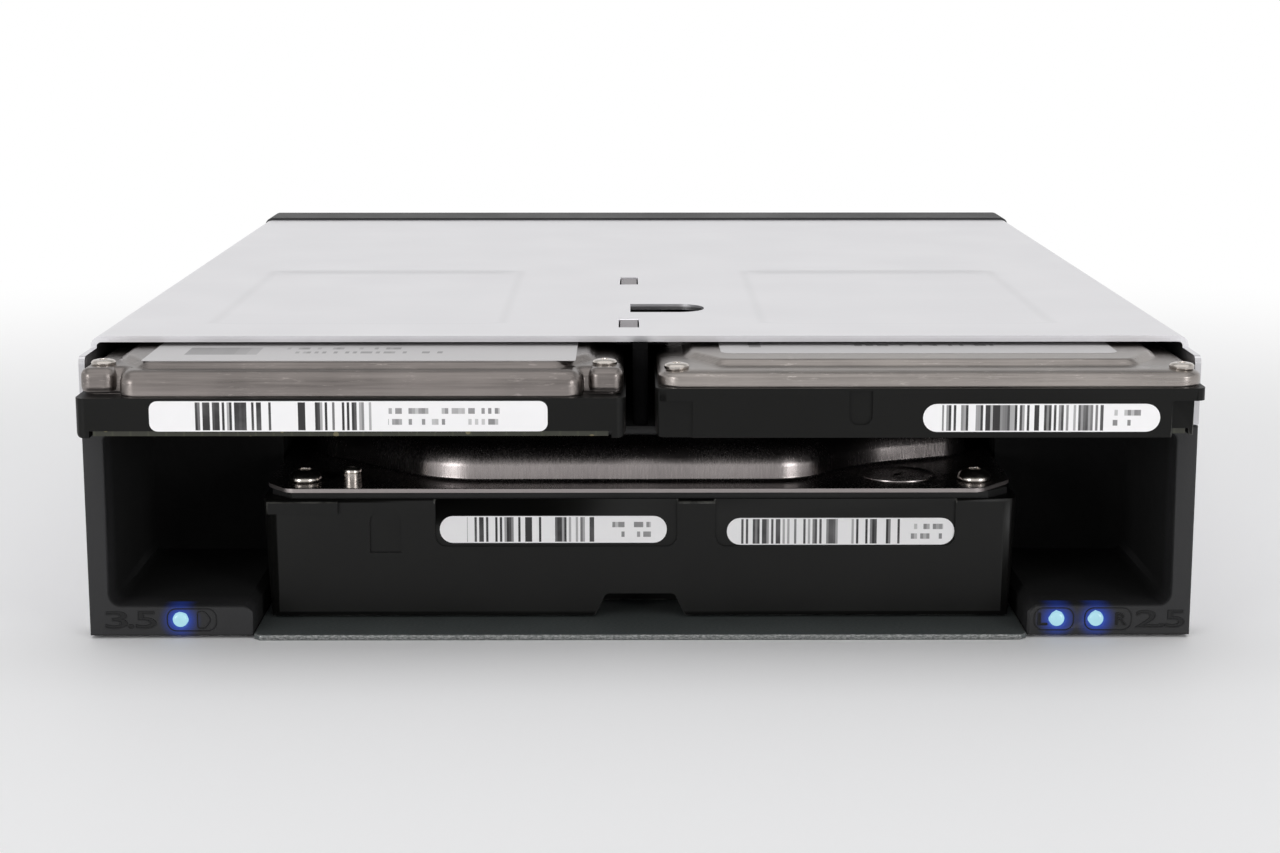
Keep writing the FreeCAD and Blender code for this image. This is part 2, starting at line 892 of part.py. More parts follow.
def big_base():
    """Base casting of the big drive."""
    y0 = big_setback
    z0 = big_z
    z1 = big_z + big_casting
    h = big_width / 2
    e = big_edge
    f = big_foot
    plan = [(-h, y0, big_corner), (h, y0, big_corner), (h, big_rear), (-h, big_rear)]
    side = [(y0 + f, z0), (big_rear, z0), (big_rear, z1), (y0 + e, z1), (y0, z1 - e), (y0, z0 + f)]
    body = prism("XY", plan, z0, z1).common(prism("YZ", side, -h, h))
    pad_x = pad_inset - h
    pad_top = z1 - pad_drop
    pad = block(pad_x, pad_x + pad_width, y0 - pad_proud, y0 + big_corner, pad_top - pad_height, pad_top)
    body = fused([body, pad])
    taken = []
    for sign in (-1, 1):
        x = sign * h
        out = sign * (h + past)
        wedge = [(sign * (h - big_draft), z0 - fit), (out, z0 - fit), (out, z1), (x, z1)]
        taken.append(prism("XZ", wedge, y0 - past, y0 + big_draft_depth))
        for back in side_hole_backs:
            level = z0 + side_hole_level
            taken.append(drilled(x, big_rear - back, level, side_hole, side_hole_depth, (-sign, 0, 0)))
    c = label_corner
    low = z0 + label_level
    for x0, x1 in label_spans:
        pocket = [(x0, z1 + past), (x0, low, c), (x1, low, c), (x1, z1 + past)]
        taken.append(prism("XZ", pocket, y0 - past, y0 + label_pocket))
    c = arch_corner
    x0 = arch_left
    x1 = arch_left + arch_width
    arch = [(x0, z0 + arch_low), (x1, z0 + arch_low), (x1, z0 + arch_top, c), (x0, z0 + arch_top, c)]
    taken.append(prism("XZ", arch, y0 - past, y0 + arch_depth))
    a = notch_bottom / 2
    b = notch_top / 2
    c = notch_corner
    notch = [(-a, z0 - fit), (a, z0 - fit), (b, z0 + notch_height, c), (-b, z0 + notch_height, c)]
    taken.append(prism("XZ", notch, y0 - past, y0 + notch_depth))
    s = h - big_board_side
    board_end = big_rear - big_board_rear
    taken.append(block(-s, s, y0 + big_board_front, board_end, z0 - past, big_board_ceiling()))
    reach = plug_half + plug_room
    x0 = big_plug_offset - reach
    x1 = big_plug_offset + reach
    bay = big_rear - tongue_length - plug_depth - plug_back
    taken.append(block(x0, x1, bay, big_rear + past, z0 - past, z0 + big_plug_top + 2 * fit))
    deep = cover_screw_length
    for x, y in big_screw_places():
        taken.append(drilled(x, y, z1 - deep, thread + screw_fit, deep + past, (0, 0, 1)))
    bore = pin_radius + screw_fit
    taken.append(drilled(big_pin_x(), big_screw_y(), z1 - pin_root, bore, pin_root + past, (0, 0, 1)))
    return cut_all(body, taken)


def big_board_ceiling():
    """Level of the casting face that the big drive's board and motor lie against."""
    return big_z + big_board_rise + big_board


def motor(x, y, ceiling, radius, height):
    """Spindle motor seen from below: a flange against the casting, with a hub standing down from it."""
    step = 0.4 * height
    hub = 0.7 * radius
    form = [(radius, 0), (radius, step), (hub, step), (hub, height)]
    return turned(form, x, y, ceiling, (0, 0, -1), motor_sides)


def big_screw_y():
    """Depth of the front pair of cover screws."""
    return big_setback + cover_screw_inset


def big_pin_x():
    """Where the locating pin stands across the drive."""
    return pin_inset - big_width / 2


def big_screw_places():
    """Cover screws of the big drive."""
    x = big_width / 2 - cover_screw_inset
    return [(side * x, y) for side in (-1, 1) for y in (big_screw_y(), big_rear - cover_screw_inset)]


def big_gasket_ring():
    """Seal between the casting and the cover."""
    z0 = big_z + big_casting
    outer = prism("XY", clipped(gasket_inset), z0, z0 + big_gasket)
    return outer.cut(prism("XY", clipped(gasket_inset + gasket_width), z0 - past, z0 + big_gasket + past))


def clipped(inset):
    """Plan of the big drive set in from its edges, with the two front corners cut off."""
    h = big_width / 2 - inset
    y0 = big_setback + inset
    y1 = big_rear - inset
    c = big_chamfer
    return [(-h, y0 + c), (c - h, y0), (h - c, y0), (h, y0 + c), (h, y1), (-h, y1)]


def big_cover():
    """Stamped cover with a domed middle, dropped at the screws."""
    z0 = big_z + big_casting + big_gasket
    z1 = z0 + big_flange
    tier = big_z + big_tier
    y0 = big_setback
    flange = prism("XY", clipped(flange_inset), z0, z1)
    d = dome_half
    f = y0 + dome_front
    rear = big_rear - dome_rear
    dome_plan = [
        (dome_left, f, dome_corner),
        (dome_right, f, dome_right_corner),
        (dome_bay, f + dome_bay_back, dome_bay_corner),
        (d, f + dome_right_back, dome_bay_corner),
        (d, rear),
        (-d, rear),
        (-d, f + dome_left_back, dome_corner),
    ]
    dome = round_top(prism("XY", dome_plan, z0, tier), tier, dome_round)
    e = d - crown_inset
    c = crown_clip
    g = f + crown_front
    rear = big_rear - crown_rear
    upper_plan = [(-e, g + c), (c - e, g), (e - c, g), (e, g + c), (e, rear), (-e, rear)]
    upper = prism("XY", upper_plan, tier - root, big_z + big_height)
    body = fused([flange, dome, upper])
    taken = [rod(dimple_x, y0 + dimple_y, z1 - dimple_depth, dimple_radius, dimple_depth + past, (0, 0, 1))]
    deep = big_flange + 2 * past
    for x, y in big_screw_places():
        taken.append(drilled(x, y, z0 - past, thread + screw_fit, deep, (0, 0, 1)))
    taken.append(drilled(big_pin_x(), big_screw_y(), z0 - past, pin_radius + screw_fit, deep, (0, 0, 1)))
    return cut_all(body, taken)


def big_board_plate():
    """Circuit board under the big drive, stepped clear of the motor."""
    z0 = big_z + big_board_rise
    h = big_width / 2 - big_board_side - board_room
    y0 = big_setback + big_board_front + board_room
    rear = big_rear - big_board_rear - board_room
    n = big_board_notch_half
    step = y0 + big_board_step
    back = y0 + big_board_notch
    plan = [(-h, step), (-n, step), (-n, back), (n, back), (n, y0), (h, y0), (h, rear), (-h, rear)]
    return prism("XY", plan, z0, z0 + big_board)


def small_screw_places(xc, eared):
    """Cover screws of a small drive, set further back where the cover has ears."""
    x = small_width / 2 - small_screw_side
    front = small_front + (ear_screw_front if eared else plain_screw_front)
    return [(xc + side * x, y) for side in (-1, 1) for y in (front, small_rear - small_screw_rear)]


def small_board_ceiling():
    """Level of the casting face that a small drive's board and motor lie against."""
    return small_z + small_board_rise + small_board


def small_board_front(eared):
    """Where a small drive's board starts: at the open front under a cover with ears, else behind a wall."""
    return small_front if eared else small_front + small_front_wall


def small_base(xc, casting, eared):
    """Base casting of a small drive."""
    h = small_width / 2
    z0 = small_z
    z1 = small_z + casting
    y0 = small_front
    left = xc - h
    right = xc + h
    plan = [(left, y0, small_corner), (right, y0, small_corner), (right, small_rear), (left, small_rear)]
    section = [(left, z0, small_foot), (right, z0, small_foot), (right, z1), (left, z1)]
    body = prism("XY", plan, z0, z1).common(prism("XZ", section, y0 - past, small_rear + past))
    bay_front = y0 - past if eared else small_board_front(eared)
    bay_rear = small_rear - small_board_rear
    rail = small_rail
    taken = [block(left + rail, right - rail, bay_front, bay_rear, z0 - past, small_board_ceiling())]
    reach = plug_half + plug_room
    xp = xc + small_plug_offset
    bay = small_rear - tongue_length - plug_depth - plug_back
    taken.append(block(xp - reach, xp + reach, bay, small_rear + past, z0 - past, z0 + small_plug_top + fit))
    for x, y in small_screw_places(xc, eared):
        taken.append(drilled(x, y, z1 - 2 * thread, thread + screw_fit, 2 * thread + past, (0, 0, 1)))
    if not eared:
        top = z1 - casting_rim
        taken.append(block(left - past, left + panel_left, y0 - past, y0 + panel_left_step, z0 - past, top))
        for wide, depth in ((panel_right, panel_right_step), (rim_overhang, rim_overhang_depth)):
            taken.append(block(right - wide, right + past, y0 - past, y0 + depth, z0 - past, top))
        a = xc + mark_left
        b = a + mark_width
        c = mark_corner
        low = z0 + mark_low
        mark = [(a, z1 - mark_drop), (a, low, c), (b, low, c), (b, z1 - mark_drop)]
        taken.append(prism("XZ", mark, y0 - past, y0 + mark_depth))
    return cut_all(body, taken)


def small_cover(xc, casting, eared):
    """Stamped cover of a small drive, stepped up to the label area and low at the corners."""
    h = small_width / 2 - small_inset
    z0 = small_z + casting
    shoulder = small_z + small_shoulder
    crown = small_z + small_height
    y0 = small_front + small_inset
    y1 = small_rear - small_inset
    corner = small_corner if eared else plain_corner
    plan = [(xc - h, y0, corner), (xc + h, y0, corner), (xc + h, y1), (xc - h, y1)]
    skirt = round_top(prism("XY", plan, z0, shoulder), shoulder, small_round)
    a = h - label_side
    b = h - label_neck
    c = label_clip
    front = y0 + label_front
    rear = y1 - label_front
    neck = y1 - label_neck_back
    right = [
        (b - c, front),
        (b, front + c),
        (b + c, y0 + label_neck_back),
        (a, y0 + label_side_back),
        (a, neck),
        (b, neck),
        (b, rear),
    ]
    label = [(xc + x, y) for x, y in right] + [(xc - x, y) for x, y in reversed(right)]
    body = fused([skirt, prism("XY", label, shoulder - small_round / 2, crown)])
    taken = []
    for x, y in small_screw_places(xc, eared):
        taken.append(drilled(x, y, z0 - past, thread + screw_fit, crown - z0 + 2 * past, (0, 0, 1)))
    if eared:
        edge = h - ear_width
        front = y0 - past
        low = z0 - past
        for sign in (-1, 1):
            p, q = sorted((xc + sign * edge, xc + sign * (h + past)))
            taken.append(block(p, q, front, y0 + ear_setback, low, crown))
            taken.append(block(p, q, front, y0 + 2 * ear_setback, low, z0 + ear_lift))
            p, q = sorted((xc + sign * (edge - groove), xc + sign * edge))
            taken.append(block(p, q, front, y0 + groove_depth, low, crown))
    return cut_all(body, taken)


def small_board_plate(xc, eared):
    """Circuit board under a small drive, cut out round the motor."""
    z0 = small_z + small_board_rise
    h = small_width / 2 - small_rail - board_room
    y0 = small_board_front(eared) + board_room
    y1 = small_rear - small_board_rear - board_room
    plate = block(xc - h, xc + h, y0, y1, z0, z0 + small_board)
    opening = small_motor + board_room
    hole = [(opening, 0), (opening, small_board + 2 * past)]
    return plate.cut(turned(hole, xc, small_front + small_motor_y, z0 - past, (0, 0, 1), motor_sides))


def light_pipe(x):
    """Clear rod from a lamp on the backplane to the front of a foot."""
    end = board_y - lamp_depth - lamp_gap
    return turned([(pipe_radius, -pipe_nose), (pipe_radius, end)], x, 0, pipe_level, (0, 1, 0))


def export_cage():
    """The fixed pieces."""
    export("top_shell", top_shell())
    export("floor_plate", floor_plate())
    export("front_frame", front_frame())
    export("left_guide", guide(-1))
    export("right_guide", guide(1))
    export("bay_divider", bay_divider())
    export("rear_cap", rear_cap())
    export("backplane_board", backplane())
    export("upper_board", upper_board())
    upper = shelf_top + board
    link_half = link_width / 2
    link = block(-link_half, link_half, board_y - link_depth, board_y, upper, upper + link_height)
    export("board_link", link)
    low = big_z + big_socket_low
    high = big_z + big_socket_top
    export("big_socket", drive_socket(big_plug_offset, big_z + big_plug_level, big_rear, board_y, low, high))
    zc = small_z + small_plug_level
    high = small_z + small_socket_top
    for name, xc in (("left_socket", -small_x), ("right_socket", small_x)):
        xp = xc + small_plug_offset
        export(name, drive_socket(xp, zc, small_rear, small_rear + small_socket_depth, upper, high))
    for name, x in zip(("left_data_port", "middle_data_port", "right_data_port"), data_port_places()):
        export(name, cage_port(x, data_port_level, data_port_width, signal_width))
    for name, x in zip(("left_power_port", "right_power_port"), power_port_places()):
        export(name, cage_port(x, power_port_level, power_port_width, power_width))
    w = lamp_width / 2
    v = lamp_height / 2
    for name, x in zip(("left", "inner", "outer"), pipes):
        export(name + "_light_pipe", light_pipe(x))
        lamp = block(x - w, x + w, board_y - lamp_depth, board_y, pipe_level - v, pipe_level + v)
        export(name + "_lamp", lamp)
    export("shell_screws", group([shell_screw(sunk_screw, side, y) for side, y in shell_screw_places()]))


def export_big_drive():
    """The drive in the lower bay."""
    export("big_drive_base", big_base())
    export("big_drive_gasket", big_gasket_ring())
    export("big_drive_cover", big_cover())
    top = big_z + big_casting + big_gasket + big_flange
    length = cover_screw_length
    screws = [pan_screw(x, y, top, cover_head, cover_head_height, length) for x, y in big_screw_places()]
    export("big_drive_cover_screws", group(screws))
    pin_form = [(pin_radius, -pin_root), (pin_radius, 0.8 * pin_height), (0.75 * pin_radius, pin_height)]
    pin = turned(pin_form, big_pin_x(), big_screw_y(), top, (0, 0, 1))
    export("big_drive_pin", pin)
    export("big_drive_board", big_board_plate())
    ceiling = big_board_ceiling()
    height = ceiling - big_z - big_motor_lift
    export("big_drive_motor", motor(0, big_setback + big_motor_y, ceiling, big_motor, height))
    plug = drive_plug(big_plug_offset, big_z + big_plug_level, big_rear, ceiling, big_z + big_plug_top)
    export("big_drive_plug", plug)


def export_small_drive(name, xc, casting, eared):
    """A drive in one of the upper bays."""
    export(name + "_base", small_base(xc, casting, eared))
    export(name + "_cover", small_cover(xc, casting, eared))
    seat = small_z + small_shoulder
    length = small_shoulder - casting + small_screw_grip
    places = small_screw_places(xc, eared)
    screws = [pan_screw(x, y, seat, small_head, small_head_height, length) for x, y in places]
    export(name + "_cover_screws", group(screws))
    export(name + "_board", small_board_plate(xc, eared))
    ceiling = small_board_ceiling()
    height = ceiling - small_z - small_motor_lift
    export(name + "_motor", motor(xc, small_front + small_motor_y, ceiling, small_motor, height))
    xp = xc + small_plug_offset
    plug = drive_plug(xp, small_z + small_plug_level, small_rear, ceiling, small_z + small_plug_top)
    export(name + "_plug", plug)


os.makedirs("parts", exist_ok=True)
export_cage()
export_big_drive()
export_small_drive("left_drive", -small_x, left_casting, True)
export_small_drive("right_drive", small_x, right_casting, False)
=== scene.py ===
"""Hard drive cage: finishes, labels, small fasteners and stage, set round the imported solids."""

import math

import bmesh
import bpy
from mathutils import Euler, Matrix, Vector
from mathutils.geometry import intersect_point_line


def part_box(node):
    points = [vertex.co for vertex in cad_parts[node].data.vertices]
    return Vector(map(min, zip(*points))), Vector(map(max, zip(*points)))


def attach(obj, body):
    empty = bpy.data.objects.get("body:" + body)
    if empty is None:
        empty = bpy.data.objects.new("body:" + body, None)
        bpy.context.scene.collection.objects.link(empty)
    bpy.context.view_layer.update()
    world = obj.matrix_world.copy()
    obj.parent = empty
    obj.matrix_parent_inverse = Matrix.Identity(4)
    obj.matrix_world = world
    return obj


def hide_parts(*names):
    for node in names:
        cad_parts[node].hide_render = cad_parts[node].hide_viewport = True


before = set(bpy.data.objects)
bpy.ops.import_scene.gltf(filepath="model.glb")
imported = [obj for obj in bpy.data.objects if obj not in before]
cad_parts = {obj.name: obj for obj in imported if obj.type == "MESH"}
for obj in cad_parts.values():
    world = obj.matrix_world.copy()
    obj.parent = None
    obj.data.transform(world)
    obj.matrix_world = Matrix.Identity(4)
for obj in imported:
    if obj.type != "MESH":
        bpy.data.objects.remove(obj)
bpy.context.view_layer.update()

bl_info = {
    "name": "Hard drive cage",
    "version": (1, 0, 0),
    "blender": (4, 5, 0),
    "location": "View3D > Sidebar > Drive Cage",
    "description": "Finishes a hard drive cage with its drives, labels and fasteners",
    "category": "Object",
}

# Modelling is done in millimetres, and each finished mesh is brought to metres
MM = 0.001
PHOTO_WIDTH = 1280
SENSOR_WIDTH = 36.0

# Name of the face corner values that mark the rounded edges of a piece
EDGE_LAYER = "rounded_edge"

# How a solid's facets are merged before its edges are rounded
WELD_DISTANCE = 0.002
FACET_ANGLE = math.radians(0.8)

# Edges sharper than this angle are rounded, unless they meet an edge shorter than so many roundings
ROUNDED_ANGLE = math.radians(30.0)
SHORT_EDGE = 3
ROUND_SEGMENTS = 2

# Sine of the smallest corner beside which an edge is rounded
NEEDLE_SINE = 0.42

# Edges sharper than this angle aren't smoothed over in the shading
SHADED_ANGLE = math.radians(40.0)

# Like pieces, by the start of their names
SMALL_DRIVES = ("left_drive", "right_drive")
ALL_DRIVES = ("big_drive", *SMALL_DRIVES)
LAMP_SIDES = ("left", "inner", "outer")

# Tongues of the ports (node, width, contacts), and of the plugs (left, right, contacts) from their middle
PORT_TONGUES = (
    ("left_data_port", 10.4, 7),
    ("middle_data_port", 10.4, 7),
    ("right_data_port", 10.4, 7),
    ("left_power_port", 20.6, 15),
    ("right_power_port", 20.6, 15),
)
PLUG_TONGUES = ((-16.7, -6.3, 7), (-3.9, 16.7, 15))
KEY_WIDTH = 1.2

# How far the underside of each plug's tongues is below the top of the plug
PLUG_DROPS = (("big_drive", 3.0), ("left_drive", 2.05), ("right_drive", 2.05))

# Pressed panels of the top shell (left, right, front, rear, slope) and the front of its top, in millimetres
PRESSED_PANELS = ((-60.5, -17.5, 18.5, 80.5, 3.0), (15.5, 58.5, 18.5, 80.5, 3.0))
TOP_PANEL_FRONT = 7.4

# Cut edges of the top shell: inset of its folds, band of the cut below its top, ends of its walls
FOLD_INSET = 2.5
CUT_BAND = (0.77, 0.36)
WALL_END = 0.3

# How much the top shell is darkened: painted shade along the pressed lines and inside the slots, and a plain
# darkening of the front cut and the wall ends
PRESSED_PAINTED_SHADE = 0.07
SLOT_PAINTED_SHADE = 0.57
FRONT_DARK = 0.08
WALL_DARK = 0.35

# Where painted shade darkens the front frame: depth into its pockets, half width of its shelf, band below its
# top; and how much the painted glow darkens the plastic under it
POCKET_FADE = (0.8, 6.0)
POCKET_PAINTED_SHADE = 0.88
SHELF_HALF = 68.0
SHELF_BAND = (2.6, 1.4)
SHELF_PAINTED_SHADE = 0.7
HALO_DARK = 0.8

# Bright middle of a lamp in the front frame, and how deep its halo goes
LAMP_RADIUS = 0.9
HALO_DEPTH = 2.0

# Turned pieces as (radius, height) rings, and (radius, height, lobes, swing) rings in a screw's recess
FLUSH_SCREW = (
    (1.0, -3.4), (1.0, -1.1), (2.25, -0.06), (2.15, 0.0), (0.9, 0.0, 6, 0.16), (0.8, -0.6, 6, 0.16),
)
FLUSH_SCREW_RADIUS = 2.3
COVER_SCREW = (
    (1.0, -4.6), (1.0, 0.0), (2.2, 0.0), (2.3, 0.12), (2.3, 0.5), (2.12, 0.95), (1.7, 1.35),
    (1.25, 1.58), (0.95, 1.65), (0.86, 1.64, 6, 0.14), (0.78, 0.9, 6, 0.14),
)
COVER_SCREW_RADIUS = 2.3
SMALL_SCREW_HEAD = (
    (1.0, -0.3), (1.5, -0.3), (1.6, -0.1), (1.6, 0.15), (1.4, 0.38),
    (0.95, 0.49), (0.62, 0.5), (0.56, 0.49, 6, 0.14), (0.5, 0.1, 6, 0.14),
)
SMALL_SCREW_RADIUS = 1.6
SMALL_SCREW_SEAT = 0.7
SHANK_RADIUS = 1.0
COVER_DISH = (
    (5.3, -0.1), (5.3, 0.0), (5.27, 0.14), (5.1, 0.18), (4.6, 0.14), (4.4, 0.03), (2.6, 0.01), (0.6, 0.01),
)
COVER_DISH_SEGMENTS = 40

# End of a light pipe as (share of its radius, depth) rings
PIPE_DOME = ((0.45, 0.0), (0.75, 0.05), (0.93, 0.16), (1.0, 0.35))

# Contacts: how far their two ends lie inside a port or a plug, and their section
PORT_CONTACT_ENDS = (6.2, 0.8)
PLUG_CONTACT_ENDS = (4.7, 0.3)
CONTACT_HALF = 0.4
CONTACT_CORNER = 0.15
CONTACT_BELOW = 0.05
CONTACT_ABOVE = 0.03

# Flange of the big cover above its gasket, and the part of it that shows as a cut edge
BIG_FLANGE = 0.6
BIG_FLANGE_CUT = 0.5

# How far a drawn layer starts inside the one that it stands on
LAP = 0.02

# Big cover: height of its crown, how far its dome lies inside its flange, and the place of its dish
CROWN_HEIGHT = 3.2
CROWN_INSET = 7.0
DOME_SIDE = 3.0
DOME_FRONT = 4.8
DOME_REAR = 13.8
FLANGE_ROUND = 0.12
COVER_DISH_PLACE = (35.6, 4.2)

# Small covers: height of the label area, and the ears beside the notches of the left one
AREA_HEIGHT = 0.8
AREA_INNER = 27.0
AREA_OUTER = 31.5
BODY_FOOT = 0.1
EAR_WIDTH = 4.25
EAR_GROOVE = 0.95
EAR_NOTCH = 3.4
EAR_FRONT = 2.0
EAR_REAR = 8.2
EAR_FOOT = (0.5, 0.6)
EAR_RIM = 1.1
EAR_PROUD = 0.05

# Depth of the label pockets in the front of the big drive
LABEL_POCKET = 0.9

# Print on the front labels: bars, and rows of marks at shares of the height
BAR_MARGIN = 0.15
BAR_PITCH = 0.31
ROW_SHARES = (0.22, 0.58)
ROW_HEIGHT = 0.2
ROW_PITCH = 0.42
ROW_DARKNESS = 0.75

# Marks on the feet: small characters, the arrow, and the frames (left, right) round the lamps
MARK_WEIGHT = 0.025
DOT_HEIGHT = 0.5
LETTER_HALF = 0.8
ARROW_BASE = -58.7
ARROW_LENGTH = 1.8
ARROW_HEAD = 0.8
ARROW_CORNER = 0.35
LAMP_FRAMES = ((-62.7, -56.2), (52.3, 57.5), (59.0, 65.2))
FRAME_GAP = 0.35
FRAME_CORNER = 1.2

# Lamps of the stage, in metres: places, points that they face and sizes
KEY_PLACE = (0.0, -0.15, 0.75)
KEY_TARGET = (0.0, 0.05, 0.0)
KEY_SIZE = 1.2
FILL_PLACE = (0.55, -0.65, 0.14)
FILL_TARGET = (0.0, 0.0, 0.02)
FILL_SIZE = 0.26

# Floor of the stage: half its width in metres, its finish, and where it turns white, in millimetres
FLOOR_HALF = 4.0
FLOOR_COLOUR = (0.93, 0.93, 0.94, 1)
FLOOR_SHINE = 0.2
FLOOR_FADE = (110.0, 420.0)

# Upward share of a direction between which the surroundings dim to the ceiling
CEILING_BAND = (0.35, 0.8)


# Lengths and colours

def mm(length):
    """A length in metres as millimetres."""
    return length / MM


def tone(red, green, blue):
    """Linear colour from the values that a screen shows, 0 to 255."""
    shown = [channel / 255 for channel in (red, green, blue)]
    return tuple(c / 12.92 if c <= 0.04045 else ((c + 0.055) / 1.055) ** 2.4 for c in shown)


# Colours that aren't set by a user: cut zinc and bare steel, each darkest and palest, and single ones
CUT_ZINC = (tone(104, 106, 106), tone(158, 160, 158))
HOOK_STEEL = (tone(120, 116, 119), tone(176, 172, 175))
BOARD_LAND = tone(112, 106, 84)
RUBBER = tone(24, 24, 24)
PRESSED_SHADE = (0.1, 0.1, 0.1)
CUT_SHADE = (0.05, 0.05, 0.05)
BLACK = (0.0, 0.0, 0.0)


def extent(node):
    """Lowest and highest corner of a solid, in millimetres."""
    low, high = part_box(node)
    return low / MM, high / MM


def length_property(label, words, default):
    """A length that a user can set."""
    return bpy.props.FloatProperty(
        name=label, description=words, default=default, unit="LENGTH", precision=5
    )


def colour_property(label, words, default):
    """A colour that a user can set."""
    return bpy.props.FloatVectorProperty(
        name=label, description=words, default=default, subtype="COLOR", size=3, min=0.0, max=1.0
    )


class CageSizes(bpy.types.PropertyGroup):
    """Sizes that the solids leave to the finish."""

    moulding_round: length_property("Moulding edge", "Rounding of the black mouldings' edges", 0.00022)
    casting_round: length_property("Casting edge", "Rounding of the castings' edges", 0.00018)
    sheet_round: length_property("Sheet edge", "Rounding of cut sheet edges", 0.0002)
    paper: length_property("Paper", "Thickness of a label", 0.00005)
    label_height: length_property("Label height", "Height of a front label", 0.0037)
    glow_reach: length_property("Glow", "How far a lamp lights the plastic round it", 0.0031)
    engraving: length_property("Engraving", "Thickness of the lines of a mark", 0.00009)
    mark_height: length_property("Mark height", "Height of the numerals on the feet", 0.0023)
    contact_pitch: length_property("Contact pitch", "Distance between contacts", 0.00127)


class CageColours(bpy.types.PropertyGroup):
    """Colours of the finishes."""

    zinc: colour_property("Zinc sheet", "Top shell", tone(220, 219, 222))
    # The floor plate is zinc sheet like the shell; this dark colour is painted shade
    dark_sheet: colour_property("Dark sheet", "Floor plate in painted shade", tone(86, 91, 91))
    moulding: colour_property("Moulding", "Black plastic of the frame", tone(38, 38, 39))
    casting: colour_property("Casting", "Black coat of the drive castings", tone(15, 15, 14))
    big_cover: colour_property("Big cover", "Bright cover of the big drive", tone(140, 134, 133))
    left_cover: colour_property("Left cover", "Satin cover of the left small drive", tone(122, 116, 113))
    right_cover: colour_property("Right cover", "Satin cover of the right small drive", tone(142, 136, 132))
    screw: colour_property("Screws", "Plated screw heads", tone(186, 180, 174))
    paper: colour_property("Paper", "Front labels", tone(242, 241, 242))
    # The top labels are the front labels' paper, made greyer as painted shade
    top_paper_painted_shade: colour_property("Top paper", "Labels on the small drives' tops", tone(198, 196, 197))
    ink: colour_property("Ink", "Print on the labels", tone(30, 28, 30))
    board: colour_property("Board", "Circuit boards", tone(42, 43, 29))
    gold: colour_property("Gold", "Contacts", tone(212, 175, 90))
    glow: colour_property("Glow", "Light of the lamps on the plastic", tone(26, 64, 172))
    lamp: colour_property("Lamp", "Lit end of a light pipe", tone(176, 226, 240))


class CageStage(bpy.types.PropertyGroup):
    """Camera and light."""

    eye: bpy.props.FloatVectorProperty(
        name="Eye", description="Place of the camera", default=(-0.00137, -0.30717, 0.08612),
        subtype="TRANSLATION",
    )
    pitch: bpy.props.FloatProperty(
        name="Pitch", description="How far the camera looks down", default=0.185, unit="ROTATION"
    )
    yaw: bpy.props.FloatProperty(
        name="Yaw", description="How far the camera looks right", default=0.0043, unit="ROTATION"
    )
    focal_pixels: bpy.props.FloatProperty(
        name="Focal length", description="In pixels of a frame 1280 wide", default=2392.0
    )
    key_power: bpy.props.FloatProperty(
        name="Key", description="Overhead softbox", default=3.6, unit="POWER"
    )
    fill_power: bpy.props.FloatProperty(
        name="Fill", description="Each front softbox", default=1.5, unit="POWER"
    )
    ambient: bpy.props.FloatProperty(
        name="Ambient", description="Light from all round", default=0.46
    )
    ceiling: bpy.props.FloatProperty(
        name="Ceiling", description="Brightness overhead, as metal shows it", default=0.5
    )


# Shader nodes

def add_node(tree, kind, **values):
    """A node with its settings."""
    made = tree.nodes.new(kind)
    for key, value in values.items():
        setattr(made, key, value)
    return made


def feed(tree, target, source):
    """Put a number or colour on a socket, or join an output to it."""
    if isinstance(source, bpy.types.NodeSocket):
        tree.links.new(source, target)
    else:
        target.default_value = source


def calc(tree, operation, *sources, clamp=False):
    """Output of a math node."""
    made = add_node(tree, "ShaderNodeMath", operation=operation, use_clamp=clamp)
    for socket, source in zip(made.inputs, sources):
        feed(tree, socket, source)
    return made.outputs[0]


def blend_colour(tree, factor, first, second):
    """Output of a colour mix."""
    made = add_node(tree, "ShaderNodeMix", data_type="RGBA")
    feed(tree, made.inputs["Factor"], factor)
    feed(tree, made.inputs["A"], (*first, 1) if isinstance(first, (tuple, list)) else first)
    feed(tree, made.inputs["B"], (*second, 1) if isinstance(second, (tuple, list)) else second)
    return made.outputs["Result"]


def fade(tree, value, start, end, low=0.0, high=1.0):
    """Output that runs smoothly from low to high as a value goes from start to end."""
    made = add_node(tree, "ShaderNodeMapRange", interpolation_type="SMOOTHSTEP")
    sources = {"Value": value, "From Min": start, "From Max": end, "To Min": low, "To Max": high}
    for name, source in sources.items():
        feed(tree, made.inputs[name], source)
    return made.outputs["Result"]


def object_point(tree, stretch=(1 / MM, 1 / MM, 1 / MM)):
    """Place on the piece, in millimetres unless stretched otherwise."""
    coordinates = add_node(tree, "ShaderNodeTexCoord")
    mapping = add_node(tree, "ShaderNodeMapping")
    mapping.inputs["Scale"].default_value = stretch
    tree.links.new(coordinates.outputs["Object"], mapping.inputs["Vector"])
    return mapping.outputs["Vector"]


def split_point(tree):
    """Place on the piece in millimetres, as X, Y and Z."""
    split = add_node(tree, "ShaderNodeSeparateXYZ")
    tree.links.new(object_point(tree), split.inputs[0])
    return split.outputs


def noise(tree, point, scale, detail=2.0, roughness=0.5):
    """Output of a noise texture."""
    made = add_node(tree, "ShaderNodeTexNoise")
    feed(tree, made.inputs["Vector"], point)
    feed(tree, made.inputs["Scale"], scale)
    made.inputs["Detail"].default_value = detail
    made.inputs["Roughness"].default_value = roughness
    return made.outputs["Fac"]


def start_group(name, inputs, outputs):
    """Empty node group with named sockets."""
    tree = bpy.data.node_groups.new(name, "ShaderNodeTree")
    for label, kind, default in inputs:
        socket = tree.interface.new_socket(name=label, in_out="INPUT", socket_type="NodeSocket" + kind)
        socket.default_value = default
    for label, kind in outputs:
        tree.interface.new_socket(name=label, in_out="OUTPUT", socket_type="NodeSocket" + kind)
    return tree, add_node(tree, "NodeGroupInput").outputs, add_node(tree, "NodeGroupOutput").inputs


